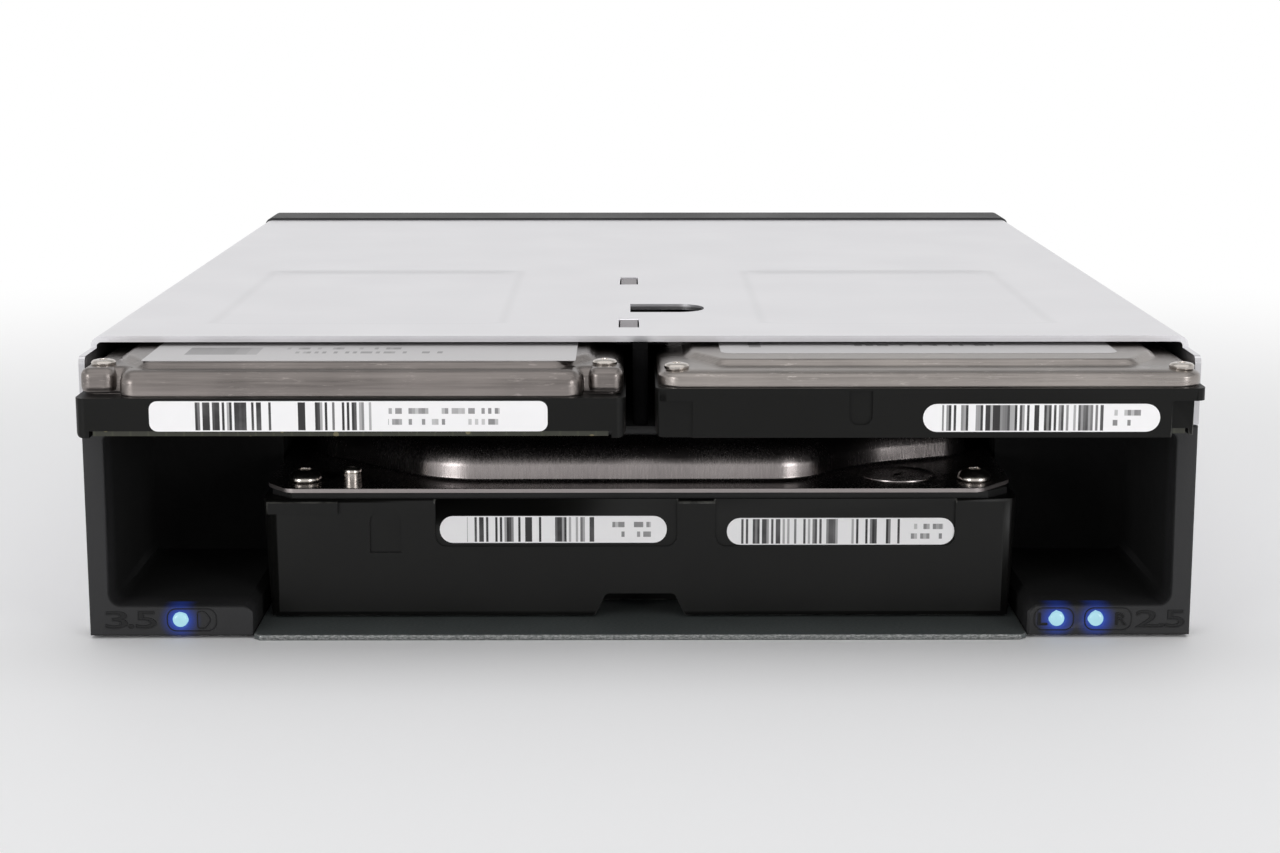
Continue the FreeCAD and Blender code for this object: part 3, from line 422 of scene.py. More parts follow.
def place_group(tree, group, **values):
    """Outputs of a group placed in a material with its own values."""
    made = add_node(tree, "ShaderNodeGroup", node_tree=group)
    for label, source in values.items():
        feed(tree, made.inputs[label.replace("_", " ")], source)
    return made.outputs


def grain_group():
    """Fine grain of a moulding or a coat, with slow changes of gloss."""
    tree, given, wanted = start_group(
        "fine grain",
        [("Grain Size", "Float", 0.25), ("Patch Size", "Float", 20.0)],
        [("Height", "Float"), ("Patches", "Float")],
    )
    point = object_point(tree)
    fine = calc(tree, "DIVIDE", 1.0, given["Grain Size"])
    broad = calc(tree, "DIVIDE", 1.0, given["Patch Size"])
    feed(tree, wanted["Height"], noise(tree, point, fine, 3.0))
    feed(tree, wanted["Patches"], noise(tree, point, broad, 4.0, 0.6))
    return tree


def pulled(tree, point, stretch):
    """Place on the piece, stretched by a group's input so that a noise runs along one axis."""
    made = add_node(tree, "ShaderNodeVectorMath", operation="MULTIPLY")
    tree.links.new(point, made.inputs[0])
    tree.links.new(stretch, made.inputs[1])
    return made.outputs[0]


def drawn_group():
    """Lines left in metal by rolling, drawing or brushing, along one axis."""
    tree, given, wanted = start_group(
        "drawn lines",
        [("Stretch", "Vector", (1.0, 1.0, 1.0)), ("Patch Size", "Float", 14.0)],
        [("Lines", "Float"), ("Patches", "Float")],
    )
    point = object_point(tree)
    broad = calc(tree, "DIVIDE", 1.0, given["Patch Size"])
    feed(tree, wanted["Lines"], noise(tree, pulled(tree, point, given["Stretch"]), 1.0, 5.0, 0.65))
    feed(tree, wanted["Patches"], noise(tree, point, broad, 3.0, 0.55))
    return tree


def rubs_group():
    """Short rubs and specks on handled metal, as a mask."""
    tree, given, wanted = start_group(
        "rubs",
        [("Stretch", "Vector", (0.4, 2.4, 2.4)), ("Patch Size", "Float", 9.0)],
        [("Rubs", "Float")],
    )
    point = object_point(tree)
    broad = calc(tree, "DIVIDE", 1.0, given["Patch Size"])
    streak = fade(tree, noise(tree, pulled(tree, point, given["Stretch"]), 1.0, 6.0, 0.75), 0.55, 0.7)
    where = fade(tree, noise(tree, point, broad, 3.0, 0.6), 0.38, 0.62)
    feed(tree, wanted["Rubs"], calc(tree, "MULTIPLY", streak, where))
    return tree


def wear_group():
    """Rounded edges of a piece, and the wear along them, as masks."""
    tree, given, wanted = start_group(
        "edge wear",
        [("Patch Size", "Float", 3.0)],
        [("Edge", "Float"), ("Wear", "Float")],
    )
    rounded = add_node(tree, "ShaderNodeAttribute", attribute_name=EDGE_LAYER)
    broad = calc(tree, "DIVIDE", 1.0, given["Patch Size"])
    where = fade(tree, noise(tree, object_point(tree), broad, 5.0, 0.7), 0.36, 0.64)
    feed(tree, wanted["Edge"], rounded.outputs["Fac"])
    feed(tree, wanted["Wear"], calc(tree, "MULTIPLY", rounded.outputs["Fac"], where))
    return tree


def border_group():
    """Soft line along the inside of a rectangle, as a mask."""
    tree, given, wanted = start_group(
        "pressed border",
        [
            ("Across", "Float", 0.0),
            ("Back", "Float", 0.0),
            ("Left", "Float", 0.0),
            ("Right", "Float", 1.0),
            ("Front", "Float", 0.0),
            ("Rear", "Float", 1.0),
            ("Width", "Float", 3.0),
        ],
        [("Line", "Float")],
    )
    side = calc(
        tree, "MINIMUM", calc(tree, "SUBTRACT", given["Across"], given["Left"]),
        calc(tree, "SUBTRACT", given["Right"], given["Across"]),
    )
    depth = calc(
        tree, "MINIMUM", calc(tree, "SUBTRACT", given["Back"], given["Front"]),
        calc(tree, "SUBTRACT", given["Rear"], given["Back"]),
    )
    share = calc(tree, "DIVIDE", calc(tree, "MINIMUM", side, depth), given["Width"])
    line = calc(tree, "MULTIPLY", fade(tree, share, 0.1, 0.5), fade(tree, share, 0.5, 0.9, 1.0, 0.0))
    feed(tree, wanted["Line"], line)
    return tree


def within(tree, value, low, high):
    """1 where a value lies between two others, else 0."""
    above = calc(tree, "GREATER_THAN", value, low)
    below = calc(tree, "LESS_THAN", value, high)
    return calc(tree, "MULTIPLY", above, below)


def bars_group():
    """Upright bars of uneven width between two places, as a mask."""
    tree, given, wanted = start_group(
        "printed bars",
        [
            ("Along", "Float", 0.0),
            ("Up", "Float", 0.0),
            ("Start", "Float", 0.0),
            ("End", "Float", 10.0),
            ("Low", "Float", 0.0),
            ("High", "Float", 1.0),
            ("Pitch", "Float", 0.3),
            ("Seed", "Float", 1.0),
        ],
        [("Ink", "Float")],
    )
    step = calc(tree, "FLOOR", calc(tree, "DIVIDE", given["Along"], given["Pitch"]))
    hashed = add_node(tree, "ShaderNodeTexWhiteNoise", noise_dimensions="2D")
    pair = add_node(tree, "ShaderNodeCombineXYZ")
    feed(tree, pair.inputs["X"], step)
    feed(tree, pair.inputs["Y"], given["Seed"])
    feed(tree, hashed.inputs["Vector"], pair.outputs[0])
    bar = calc(tree, "GREATER_THAN", hashed.outputs["Value"], 0.5)
    dark = calc(tree, "MULTIPLY", bar, fade(tree, hashed.outputs["Value"], 0.5, 0.75, 0.55, 1.0))
    across = within(tree, given["Along"], given["Start"], given["End"])
    upright = within(tree, given["Up"], given["Low"], given["High"])
    feed(tree, wanted["Ink"], calc(tree, "MULTIPLY", dark, calc(tree, "MULTIPLY", across, upright)))
    return tree


def halo_group():
    """Glow round a lamp, from its place across and up."""
    tree, given, wanted = start_group(
        "lamp halo",
        [("Across", "Float", 0.0), ("Up", "Float", 0.0), ("Reach", "Float", 3.0)],
        [("Glow", "Float")],
    )
    point = split_point(tree)
    side = calc(tree, "SUBTRACT", point["X"], given["Across"])
    lift = calc(tree, "SUBTRACT", point["Z"], given["Up"])
    squares = calc(tree, "ADD", calc(tree, "MULTIPLY", side, side), calc(tree, "MULTIPLY", lift, lift))
    distance = calc(tree, "SQRT", squares)
    spread = calc(tree, "SUBTRACT", given["Reach"], LAMP_RADIUS)
    near = calc(tree, "DIVIDE", calc(tree, "SUBTRACT", given["Reach"], distance), spread, clamp=True)
    front = calc(tree, "LESS_THAN", point["Y"], HALO_DEPTH)
    feed(tree, wanted["Glow"], calc(tree, "MULTIPLY", calc(tree, "POWER", near, 2.0), front))
    return tree


def shared(maker):
    """A node group, built the first time it is asked for."""
    key = maker.__name__
    if key not in shared.made:
        shared.made[key] = maker()
    return shared.made[key]


shared.made = {}


# Materials

def blank_material(name, metallic=0.0, roughness=0.5, shine=0.5):
    """New material with its tree and its surface shader."""
    material = bpy.data.materials.new(name)
    material.use_nodes = True
    tree = material.node_tree
    shader = tree.nodes["Principled BSDF"]
    shader.inputs["Metallic"].default_value = metallic
    shader.inputs["Roughness"].default_value = roughness
    shader.inputs["Specular IOR Level"].default_value = shine
    return material, tree, shader.inputs


def bump(tree, shader, height, strength, distance):
    """Relief on a surface."""
    made = add_node(tree, "ShaderNodeBump")
    made.inputs["Strength"].default_value = strength
    made.inputs["Distance"].default_value = distance
    tree.links.new(height, made.inputs["Height"])
    tree.links.new(made.outputs["Normal"], shader["Normal"])


def scaled(colour, factor):
    """A colour made lighter or darker."""
    return tuple(min(1.0, channel * factor) for channel in colour)


def metal_material(name, colour, stretch, gloss, variation=0.06, relief=0.05, rubs=0.0):
    """Bare or plated metal with drawn lines and rubs, from its smoothest to its roughest gloss."""
    material, tree, shader = blank_material(name, metallic=1.0)
    drawn = place_group(tree, shared(drawn_group), Stretch=stretch)
    half_patches = calc(tree, "MULTIPLY", drawn["Patches"], 0.5)
    mixed = calc(tree, "MULTIPLY_ADD", drawn["Lines"], 0.5, half_patches)
    worn = fade(tree, mixed, 0.3, 0.7)
    tint = blend_colour(tree, worn, scaled(colour, 1 - variation), scaled(colour, 1 + variation))
    if rubs > 0:
        rubbed = calc(tree, "MULTIPLY", place_group(tree, shared(rubs_group))["Rubs"], rubs)
        tint = blend_colour(tree, rubbed, tint, scaled(colour, 2.4))
    feed(tree, shader["Base Color"], tint)
    feed(tree, shader["Roughness"], fade(tree, mixed, 0.3, 0.7, gloss[0], gloss[1]))
    bump(tree, shader, drawn["Lines"], relief, 0.0002)
    return material


def coat_material(name, colour, grain, gloss, relief, shine=0.3, worn=2.0):
    """Black plastic or a painted coat with a fine grain, paler in worn patches along its edges; a strong
    paleness there also stands for painted glints.
    """
    material, tree, shader = blank_material(name, shine=shine)
    fine = place_group(tree, shared(grain_group), Grain_Size=grain, Patch_Size=18.0)
    wear = place_group(tree, shared(wear_group))["Wear"]
    coat = blend_colour(tree, fine["Patches"], scaled(colour, 0.8), scaled(colour, 1.2))
    feed(tree, shader["Base Color"], blend_colour(tree, wear, coat, scaled(colour, worn)))
    rough = fade(tree, fine["Patches"], 0.3, 0.7, gloss[0], gloss[1])
    feed(tree, shader["Roughness"], calc(tree, "MULTIPLY_ADD", wear, -0.12, rough))
    bump(tree, shader, fine["Height"], relief, 0.0001)
    return material


def made_shader(material):
    """Tree of a material, its surface inputs and the colour that feeds them."""
    tree = material.node_tree
    inputs = tree.nodes["Principled BSDF"].inputs
    return tree, inputs, inputs["Base Color"].links[0].from_socket


def zinc_material(colours):
    """Zinc-coated sheet: painted shade along the pressed panels and inside the slots, a painted highlight on
    its rounded edges, and darkened cut faces.
    """
    material = metal_material("zinc_coated_sheet", colours.zinc, (0.05, 1.6, 1.6), (0.3, 0.38), 0.012, 0.03)
    tree, shader, sheet = made_shader(material)
    point = split_point(tree)
    low, high = extent("top_shell")
    # Painted shade: a soft dark line along the inside of each pressed panel, for the shading of its slope
    for x0, x1, y0, y1, slope in PRESSED_PANELS:
        border = place_group(
            tree, shared(border_group), Across=point["X"], Back=point["Y"],
            Left=x0, Right=x1, Front=y0, Rear=y1, Width=slope,
        )
        sheet = blend_colour(tree, calc(tree, "MULTIPLY", border["Line"], PRESSED_PAINTED_SHADE), sheet, PRESSED_SHADE)
    # Cut faces are darkened a little at the front cut and the wall ends, and much more inside the slots and
    # holes as painted shade
    panel = within(tree, point["X"], low.x + FOLD_INSET, high.x - FOLD_INSET)
    cut_low, cut_high = (high.z - drop for drop in CUT_BAND)
    cut = calc(tree, "MULTIPLY", panel, within(tree, point["Z"], cut_low, cut_high))
    inner = calc(tree, "GREATER_THAN", point["Y"], TOP_PANEL_FRONT + 1.0)
    cut_darkening_and_slot_shade = calc(tree, "MULTIPLY", cut, calc(tree, "MULTIPLY_ADD", inner, SLOT_PAINTED_SHADE, FRONT_DARK))
    wall_end = calc(tree, "LESS_THAN", point["Y"], low.y + WALL_END)
    cut_darkening_and_slot_shade = calc(tree, "MAXIMUM", cut_darkening_and_slot_shade, calc(tree, "MULTIPLY", wall_end, WALL_DARK))
    sheet = blend_colour(tree, cut_darkening_and_slot_shade, sheet, CUT_SHADE)
    # Painted highlight: every rounded edge of the sheet is made paler, as a continuous bright line
    edge = place_group(tree, shared(wear_group))["Edge"]
    feed(tree, shader["Base Color"], blend_colour(tree, edge, sheet, scaled(colours.zinc, 1.25)))
    return material


def cover_material(colours):
    """Bright drawn cover of the big drive: upright brush lines, and a rougher cut edge made paler, partly as
    bare cut metal and partly as a painted highlight.
    """
    material = metal_material("bright_cover", colours.big_cover, (4.5, 4.5, 0.25), (0.2, 0.32), 0.22, 0.06)
    tree, shader, sheet = made_shader(material)
    # Partly painted highlight: the cut edge below the flange top is made paler
    flange = extent("big_drive_gasket")[1].z + BIG_FLANGE_CUT
    cut = calc(tree, "LESS_THAN", split_point(tree)["Z"], flange)
    feed(tree, shader["Base Color"], blend_colour(tree, cut, sheet, scaled(colours.big_cover, 1.15)))
    rough = shader["Roughness"].links[0].from_socket
    feed(tree, shader["Roughness"], calc(tree, "MULTIPLY_ADD", cut, 0.25, rough))
    return material


def satin_material(name, colour, foot):
    """Satin drawn cover of a small drive: long streaks and rubs, and a painted reflection that makes it paler
    along the foot of its walls.
    """
    material = metal_material(name, scaled(colour, 0.94), (0.07, 3.0, 3.0), (0.25, 0.38), 0.26, 0.1, 0.8)
    tree, shader, sheet = made_shader(material)
    # Painted reflection: the walls are made paler towards their foot
    painted_foot_reflection = fade(tree, split_point(tree)["Z"], foot + 0.5, foot + 1.9, 0.35, 0.0)
    feed(tree, shader["Base Color"], blend_colour(tree, painted_foot_reflection, sheet, scaled(colour, 1.9)))
    return material


def frame_material(colours, sizes):
    """Black moulding of the front frame, with painted shade in its pockets and on its shelf, and a painted
    blue glow round each lamp.
    """
    material = coat_material("front_frame_moulding", colours.moulding, 0.22, (0.48, 0.6), 0.22, worn=1.8)
    tree, shader, coat = made_shader(material)
    point = split_point(tree)
    top = extent("front_frame")[1].z
    # Painted shade: the moulding goes black deep in its pockets and on the shelf below its top
    deep = fade(tree, point["Y"], *POCKET_FADE, 0.0, POCKET_PAINTED_SHADE)
    between = within(tree, point["X"], -SHELF_HALF, SHELF_HALF)
    shelf_low, shelf_high = (top - drop for drop in SHELF_BAND)
    shelf = calc(tree, "MULTIPLY", between, fade(tree, point["Z"], shelf_low, shelf_high))
    dark = calc(tree, "MAXIMUM", deep, calc(tree, "MULTIPLY", shelf, SHELF_PAINTED_SHADE))
    # Painted glow: the moulding emits blue round each lamp, and its colour is darkened under that glow
    total = 0.0
    for side in LAMP_SIDES:
        low, high = extent(side + "_light_pipe")
        middle = (low + high) / 2
        halo = place_group(tree, shared(halo_group), Across=middle.x, Up=middle.z, Reach=mm(sizes.glow_reach))
        total = calc(tree, "ADD", total, halo["Glow"], clamp=True)
    dark = calc(tree, "MAXIMUM", dark, calc(tree, "MULTIPLY", total, HALO_DARK))
    feed(tree, shader["Base Color"], blend_colour(tree, dark, coat, BLACK))
    rough = shader["Roughness"].links[0].from_socket
    feed(tree, shader["Roughness"], calc(tree, "MULTIPLY_ADD", deep, 0.35, rough))
    feed(tree, shader["Emission Color"], blend_colour(tree, total, BLACK, tuple(colours.glow)))
    shader["Emission Strength"].default_value = 1.0
    return material


def floor_plate_material(colours):
    """Zinc floor sheet coloured dark as painted shade, with its cut front edge and its worn edges in paler
    zinc tones.
    """
    material, tree, shader = blank_material("floor_sheet_painted_shade")
    point = split_point(tree)
    drawn = place_group(tree, shared(drawn_group), Stretch=(2.2, 5.0, 5.0))
    front = extent("floor_plate")[0].y
    cut = calc(tree, "LESS_THAN", point["Y"], front + 0.02)
    cut = calc(tree, "MAXIMUM", cut, place_group(tree, shared(wear_group), Patch_Size=0.8)["Wear"])
    speckle = fade(tree, drawn["Lines"], 0.4, 0.6, 0.0, 1.0)
    bright = blend_colour(tree, speckle, *CUT_ZINC)
    # Painted shade: the sheet is coloured dark grey, while its cut front edge and worn edges keep paler zinc
    # tones
    dim = scaled(colours.dark_sheet, 0.8)
    coat = blend_colour(tree, drawn["Patches"], dim, scaled(colours.dark_sheet, 1.25))
    feed(tree, shader["Base Color"], blend_colour(tree, cut, coat, bright))
    feed(tree, shader["Roughness"], fade(tree, drawn["Lines"], 0.3, 0.7, 0.3, 0.45))
    feed(tree, shader["Metallic"], calc(tree, "MULTIPLY_ADD", cut, 0.7, 0.15))
    bump(tree, shader, drawn["Lines"], 0.06, 0.0002)
    return material


def divider_material(colours):
    """Black moulding whose hooks are bare steel."""
    material, tree, shader = blank_material("divider_moulding", shine=0.0)
    point = split_point(tree)
    fine = place_group(tree, shared(grain_group), Grain_Size=0.3, Patch_Size=12.0)
    bare = calc(tree, "GREATER_THAN", point["Z"], extent("top_shell")[1].z - 0.7)
    coat = blend_colour(tree, fine["Patches"], scaled(colours.moulding, 0.2), scaled(colours.moulding, 0.4))
    steel = blend_colour(tree, fine["Height"], *HOOK_STEEL)
    feed(tree, shader["Base Color"], blend_colour(tree, bare, coat, steel))
    feed(tree, shader["Metallic"], bare)
    feed(tree, shader["Roughness"], fade(tree, fine["Patches"], 0.3, 0.7, 0.48, 0.62))
    bump(tree, shader, fine["Height"], 0.1, 0.0001)
    return material


def label_material(name, colours, paper, upright, prints, seed):
    """Paper with fields of bars or marks (left, right, low, high, pitch, darkness)."""
    material, tree, shader = blank_material(name, roughness=0.42)
    point = split_point(tree)
    fine = place_group(tree, shared(grain_group), Grain_Size=0.4, Patch_Size=9.0)
    sheet = blend_colour(tree, fine["Patches"], scaled(paper, 0.93), tuple(paper))
    ink = 0.0
    for k, (left, right, low, high, pitch, darkness) in enumerate(prints):
        field = place_group(
            tree, shared(bars_group), Along=point["X"], Up=point[upright], Start=left, End=right,
            Low=low, High=high, Pitch=pitch, Seed=float(seed + k),
        )
        ink = calc(tree, "MULTIPLY_ADD", field["Ink"], darkness, ink, clamp=True)
    worn = calc(tree, "MULTIPLY", ink, fade(tree, fine["Patches"], 0.3, 0.6, 0.88, 1.0))
    feed(tree, shader["Base Color"], blend_colour(tree, worn, sheet, tuple(colours.ink)))
    bump(tree, shader, fine["Height"], 0.04, 0.0001)
    return material


def board_material(colours):
    """Circuit board: solder mask with fine tracks and round lands."""
    material, tree, shader = blank_material("circuit_board", roughness=0.4)
    tracks = add_node(tree, "ShaderNodeTexBrick", offset=0.5)
    tree.links.new(object_point(tree), tracks.inputs["Vector"])
    tracks.inputs["Scale"].default_value = 0.22
    tracks.inputs["Mortar Size"].default_value = 0.03
    lands = add_node(tree, "ShaderNodeTexVoronoi")
    tree.links.new(object_point(tree), lands.inputs["Vector"])
    lands.inputs["Scale"].default_value = 0.45
    spot = calc(tree, "LESS_THAN", lands.outputs["Distance"], 0.16)
    mask = blend_colour(tree, tracks.outputs["Fac"], scaled(colours.board, 0.8), scaled(colours.board, 1.35))
    feed(tree, shader["Base Color"], blend_colour(tree, spot, mask, BOARD_LAND))
    feed(tree, shader["Metallic"], calc(tree, "MULTIPLY", spot, 0.8))
    bump(tree, shader, tracks.outputs["Fac"], 0.15, 0.0001)
    return material


def lit_material(name, core, edge, strength):
    """Clear rod or lamp that glows, paler in the middle of its end."""
    material, tree, shader = blank_material(name, roughness=0.2)
    fine = place_group(tree, shared(grain_group), Grain_Size=0.6, Patch_Size=2.0)
    shine = blend_colour(tree, fade(tree, fine["Patches"], 0.3, 0.7), edge, core)
    feed(tree, shader["Base Color"], blend_colour(tree, 0.92, shine, BLACK))
    feed(tree, shader["Emission Color"], shine)
    shader["Emission Strength"].default_value = strength
    return material


# Mesh tools

def edges_of(verts):
    """Edges that join the given vertices."""
    return list({edge for vert in verts for edge in vert.link_edges})


def turned(bm, rings, place, segments=24):
    """Round piece through (radius, height) rings, or lobed (radius, height, lobes, swing) rings."""
    loops = []
    verts = []
    for ring in rings:
        made = bmesh.ops.create_circle(bm, cap_ends=False, segments=segments, radius=ring[0])["verts"]
        for vert in made:
            if len(ring) > 2:
                angle = math.atan2(vert.co.y, vert.co.x)
                vert.co *= 1 + ring[3] * math.cos(ring[2] * angle)
            vert.co.z = ring[1]
        loops.append(edges_of(made))
        verts += made
    for first, second in zip(loops, loops[1:]):
        bmesh.ops.bridge_loops(bm, edges=first + second)
    bmesh.ops.holes_fill(bm, edges=loops[0] + loops[-1], sides=0)
    faces = list({face for vert in verts for face in vert.link_faces})
    bmesh.ops.recalc_face_normals(bm, faces=faces)
    bmesh.ops.transform(bm, matrix=place, verts=verts)
    return verts


def slab(corners, rounds, low, high):
    """Fresh mesh of a slab over (x, y) corners, each rounded by its own length, and its top face."""
    bm = bmesh.new()
    verts = [bm.verts.new((x, y, low)) for x, y in corners]
    bm.faces.new(verts)
    for vert, length in zip(verts, rounds):
        if length > 0:
            bmesh.ops.bevel(
                bm, geom=[vert], offset=length, offset_type="OFFSET", segments=6,
                profile=0.5, affect="VERTICES", material=-1,
            )
    bm.faces.ensure_lookup_table()
    made = bmesh.ops.extrude_face_region(bm, geom=[bm.faces[0]])["geom"]
    raised = [item for item in made if isinstance(item, bmesh.types.BMVert)]
    bmesh.ops.translate(bm, vec=(0, 0, high - low), verts=raised)
    bmesh.ops.recalc_face_normals(bm, faces=bm.faces)
    return bm, [item for item in made if isinstance(item, bmesh.types.BMFace)][0]


def rise(bm, face, profile):
    """Raise the top face of a slab through steps of (inward, upward)."""
    for inward, upward in profile:
        bmesh.ops.inset_region(bm, faces=[face], thickness=inward, depth=upward, use_even_offset=True)


def arc(wide, tall, steps, start=0.0):
    """Steps of a rounded shoulder, from a start angle in degrees to level."""
    first = math.radians(start)
    turns = [first + (math.pi / 2 - first) * k / steps for k in range(steps + 1)]
    points = [(1 - math.cos(turn), math.sin(turn)) for turn in turns]
    across = points[-1][0] - points[0][0]
    up = points[-1][1] - points[0][1]
    pairs = zip(points, points[1:])
    return [((b[0] - a[0]) / across * wide, (b[1] - a[1]) / up * tall) for a, b in pairs]


def hollow(wide, tall, steps, end=0.0):
    """Steps of a rounded foot, from level up to an end angle from upright in degrees."""
    return list(reversed(arc(wide, tall, steps, end)))


def climb(steps):
    """Height that a list of (inward, upward) steps takes up."""
    return sum(upward for inward, upward in steps)


def combined(*meshes):
    """One mesh out of several closed ones."""
    first = meshes[0]
    for other in meshes[1:]:
        holder = bpy.data.meshes.new("part")
        other.to_mesh(holder)
        other.free()
        first.from_mesh(holder)
        bpy.data.meshes.remove(holder)
    return first


def lie(place):
    """Matrix that stands a flat outline up to face the front, at a place."""
    return Matrix.Translation(place) @ Matrix.Rotation(math.pi / 2, 4, "X")


def crowded(edges, reach):
    """Edges whose middle lies within reach of another edge that they don't meet, and those others."""
    found = set()
    for edge in edges:
        middle = (edge.verts[0].co + edge.verts[1].co) / 2
        for other in edges:
            if set(edge.verts).isdisjoint(other.verts):
                start, end = (vert.co for vert in other.verts)
                share = min(max(intersect_point_line(middle, start, end)[1], 0.0), 1.0)
                if (middle - start.lerp(end, share)).length < reach:
                    found.update((edge, other))
    return found


def slivered(edges):
    """Edges with a needle or nearly straight corner beside a neighbour that isn't in the list."""
    chosen = set(edges)
    found = set()
    for edge in edges:
        for loop in edge.link_loops:
            after = loop.link_loop_next
            for corner, neighbour in ((loop, loop.link_loop_prev.edge), (after, after.edge)):
                if neighbour not in chosen and math.sin(corner.calc_angle()) < NEEDLE_SINE:
                    found.add(edge)
    return found


def rounded_copy(node, width):
    """Copy of a solid in millimetres with its facets merged and its long sharp edges rounded."""
    bm = bmesh.new()
    bm.from_mesh(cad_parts[node].data)
    bmesh.ops.scale(bm, vec=(1 / MM,) * 3, verts=bm.verts)
    bmesh.ops.remove_doubles(bm, verts=bm.verts, dist=WELD_DISTANCE)
    bmesh.ops.dissolve_limit(bm, angle_limit=FACET_ANGLE, verts=bm.verts, edges=bm.edges)
    tight = {vert for edge in bm.edges if edge.calc_length() < SHORT_EDGE * width for vert in edge.verts}
    edges = [
        edge for edge in bm.edges
        if edge.is_manifold and edge.calc_face_angle() > ROUNDED_ANGLE and not tight.intersection(edge.verts)
    ]
    # Two roundings would cross on a web thinner than both, so its edges stay sharp
    thin = crowded(edges, 2 * width)
    edges = [edge for edge in edges if edge not in thin]
    # A rounding would slide far along a neighbour at a needle corner, so that edge stays sharp too
    needles = slivered(edges)
    edges = [edge for edge in edges if edge not in needles]
    if edges:
        made = bmesh.ops.bevel(
            bm, geom=edges, offset=width, offset_type="OFFSET", segments=ROUND_SEGMENTS,
            profile=0.5, affect="EDGES", material=-1, clamp_overlap=True,
        )
        layer = bm.loops.layers.float.new(EDGE_LAYER)
        for face in made["faces"]:
            for loop in face.loops:
                loop[layer] = 1.0
    return bm


def fix_order(bm):
    """Put the edges and faces of a mesh in an order that is the same each run."""
    bm.verts.index_update()
    count = len(bm.verts)

    def rank(item):
        first, second, *rest = sorted(vert.index for vert in item.verts)
        third = rest[0] if rest else 0
        return (first * count + second) * count + third

    bm.edges.sort(key=rank)
    bm.faces.sort(key=rank)


def finished(name, bm, material, body, replaces=()):
    """Piece from a mesh in millimetres, brought to metres and set on its body."""
    bmesh.ops.scale(bm, vec=(MM,) * 3, verts=bm.verts)
    fix_order(bm)
    mesh = bpy.data.meshes.new(name)
    bm.to_mesh(mesh)
    bm.free()
    mesh.shade_smooth()
    mesh.set_sharp_from_angle(angle=SHADED_ANGLE)
    mesh.materials.append(material)
    piece = bpy.data.objects.new(name, mesh)
    bpy.context.scene.collection.objects.link(piece)
    even = piece.modifiers.new("even shading", "WEIGHTED_NORMAL")
    even.keep_sharp = True
    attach(piece, body)
    if replaces:
        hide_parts(*replaces)
    return piece


def dress(node, material):
    """Give a solid that stays as it is its finish."""
    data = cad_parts[node].data
    data.materials.clear()
    data.materials.append(material)


def settings():
    """Sizes and colours of the scene."""
    scene = bpy.context.scene
    return scene.cage_sizes, scene.cage_colours


def corner_places(low, high, inset):
    """Places in plan of four like pieces at the corners of a box."""
    return [(x, y) for x in (low.x + inset, high.x - inset) for y in (low.y + inset, high.y - inset)]


def flange_top():
    """Height of the flat flange of the big cover."""
    return extent("big_drive_gasket")[1].z + BIG_FLANGE


# Operators, one for each piece or group of like pieces

class CAGE_OT_shell(bpy.types.Operator):
    """Zinc-coated top shell with rounded cut edges"""

    bl_idname = "cage.shell"
    bl_label = "Top shell"

    def execute(self, context):
        sizes, colours = settings()
        bm = rounded_copy("top_shell", mm(sizes.sheet_round))
        finished("shell_sheet", bm, zinc_material(colours), "cage", ["top_shell"])
        steel = metal_material("flush_screw_steel", colours.screw, (2.0, 2.0, 2.0), (0.22, 0.36))
        bm = bmesh.new()
        low, high = extent("shell_screws")
        height = 0.6 * extent("floor_plate")[1].z
        for side, x in ((-1, low.x), (1, high.x)):
            turn = Matrix.Rotation(side * math.pi / 2, 4, "Y")
            for y in (low.y + FLUSH_SCREW_RADIUS, high.y - FLUSH_SCREW_RADIUS):
                turned(bm, FLUSH_SCREW, Matrix.Translation((x, y, height)) @ turn)
        finished("shell_flush_screws", bm, steel, "cage", ["shell_screws"])
        return {"FINISHED"}


class CAGE_OT_front(bpy.types.Operator):
    """Front frame, floor tongue and divider"""

    bl_idname = "cage.front"
    bl_label = "Front frame"

    def execute(self, context):
        sizes, colours = settings()
        bm = rounded_copy("front_frame", mm(sizes.moulding_round))
        grained = frame_material(colours, sizes)
        finished("frame_moulding", bm, grained, "cage", ["front_frame"])
        bm = rounded_copy("floor_plate", mm(sizes.sheet_round))
        finished("floor_sheet", bm, floor_plate_material(colours), "cage", ["floor_plate"])
        bm = rounded_copy("bay_divider", mm(sizes.sheet_round))
        finished("divider_moulding", bm, divider_material(colours), "cage", ["bay_divider"])
        return {"FINISHED"}


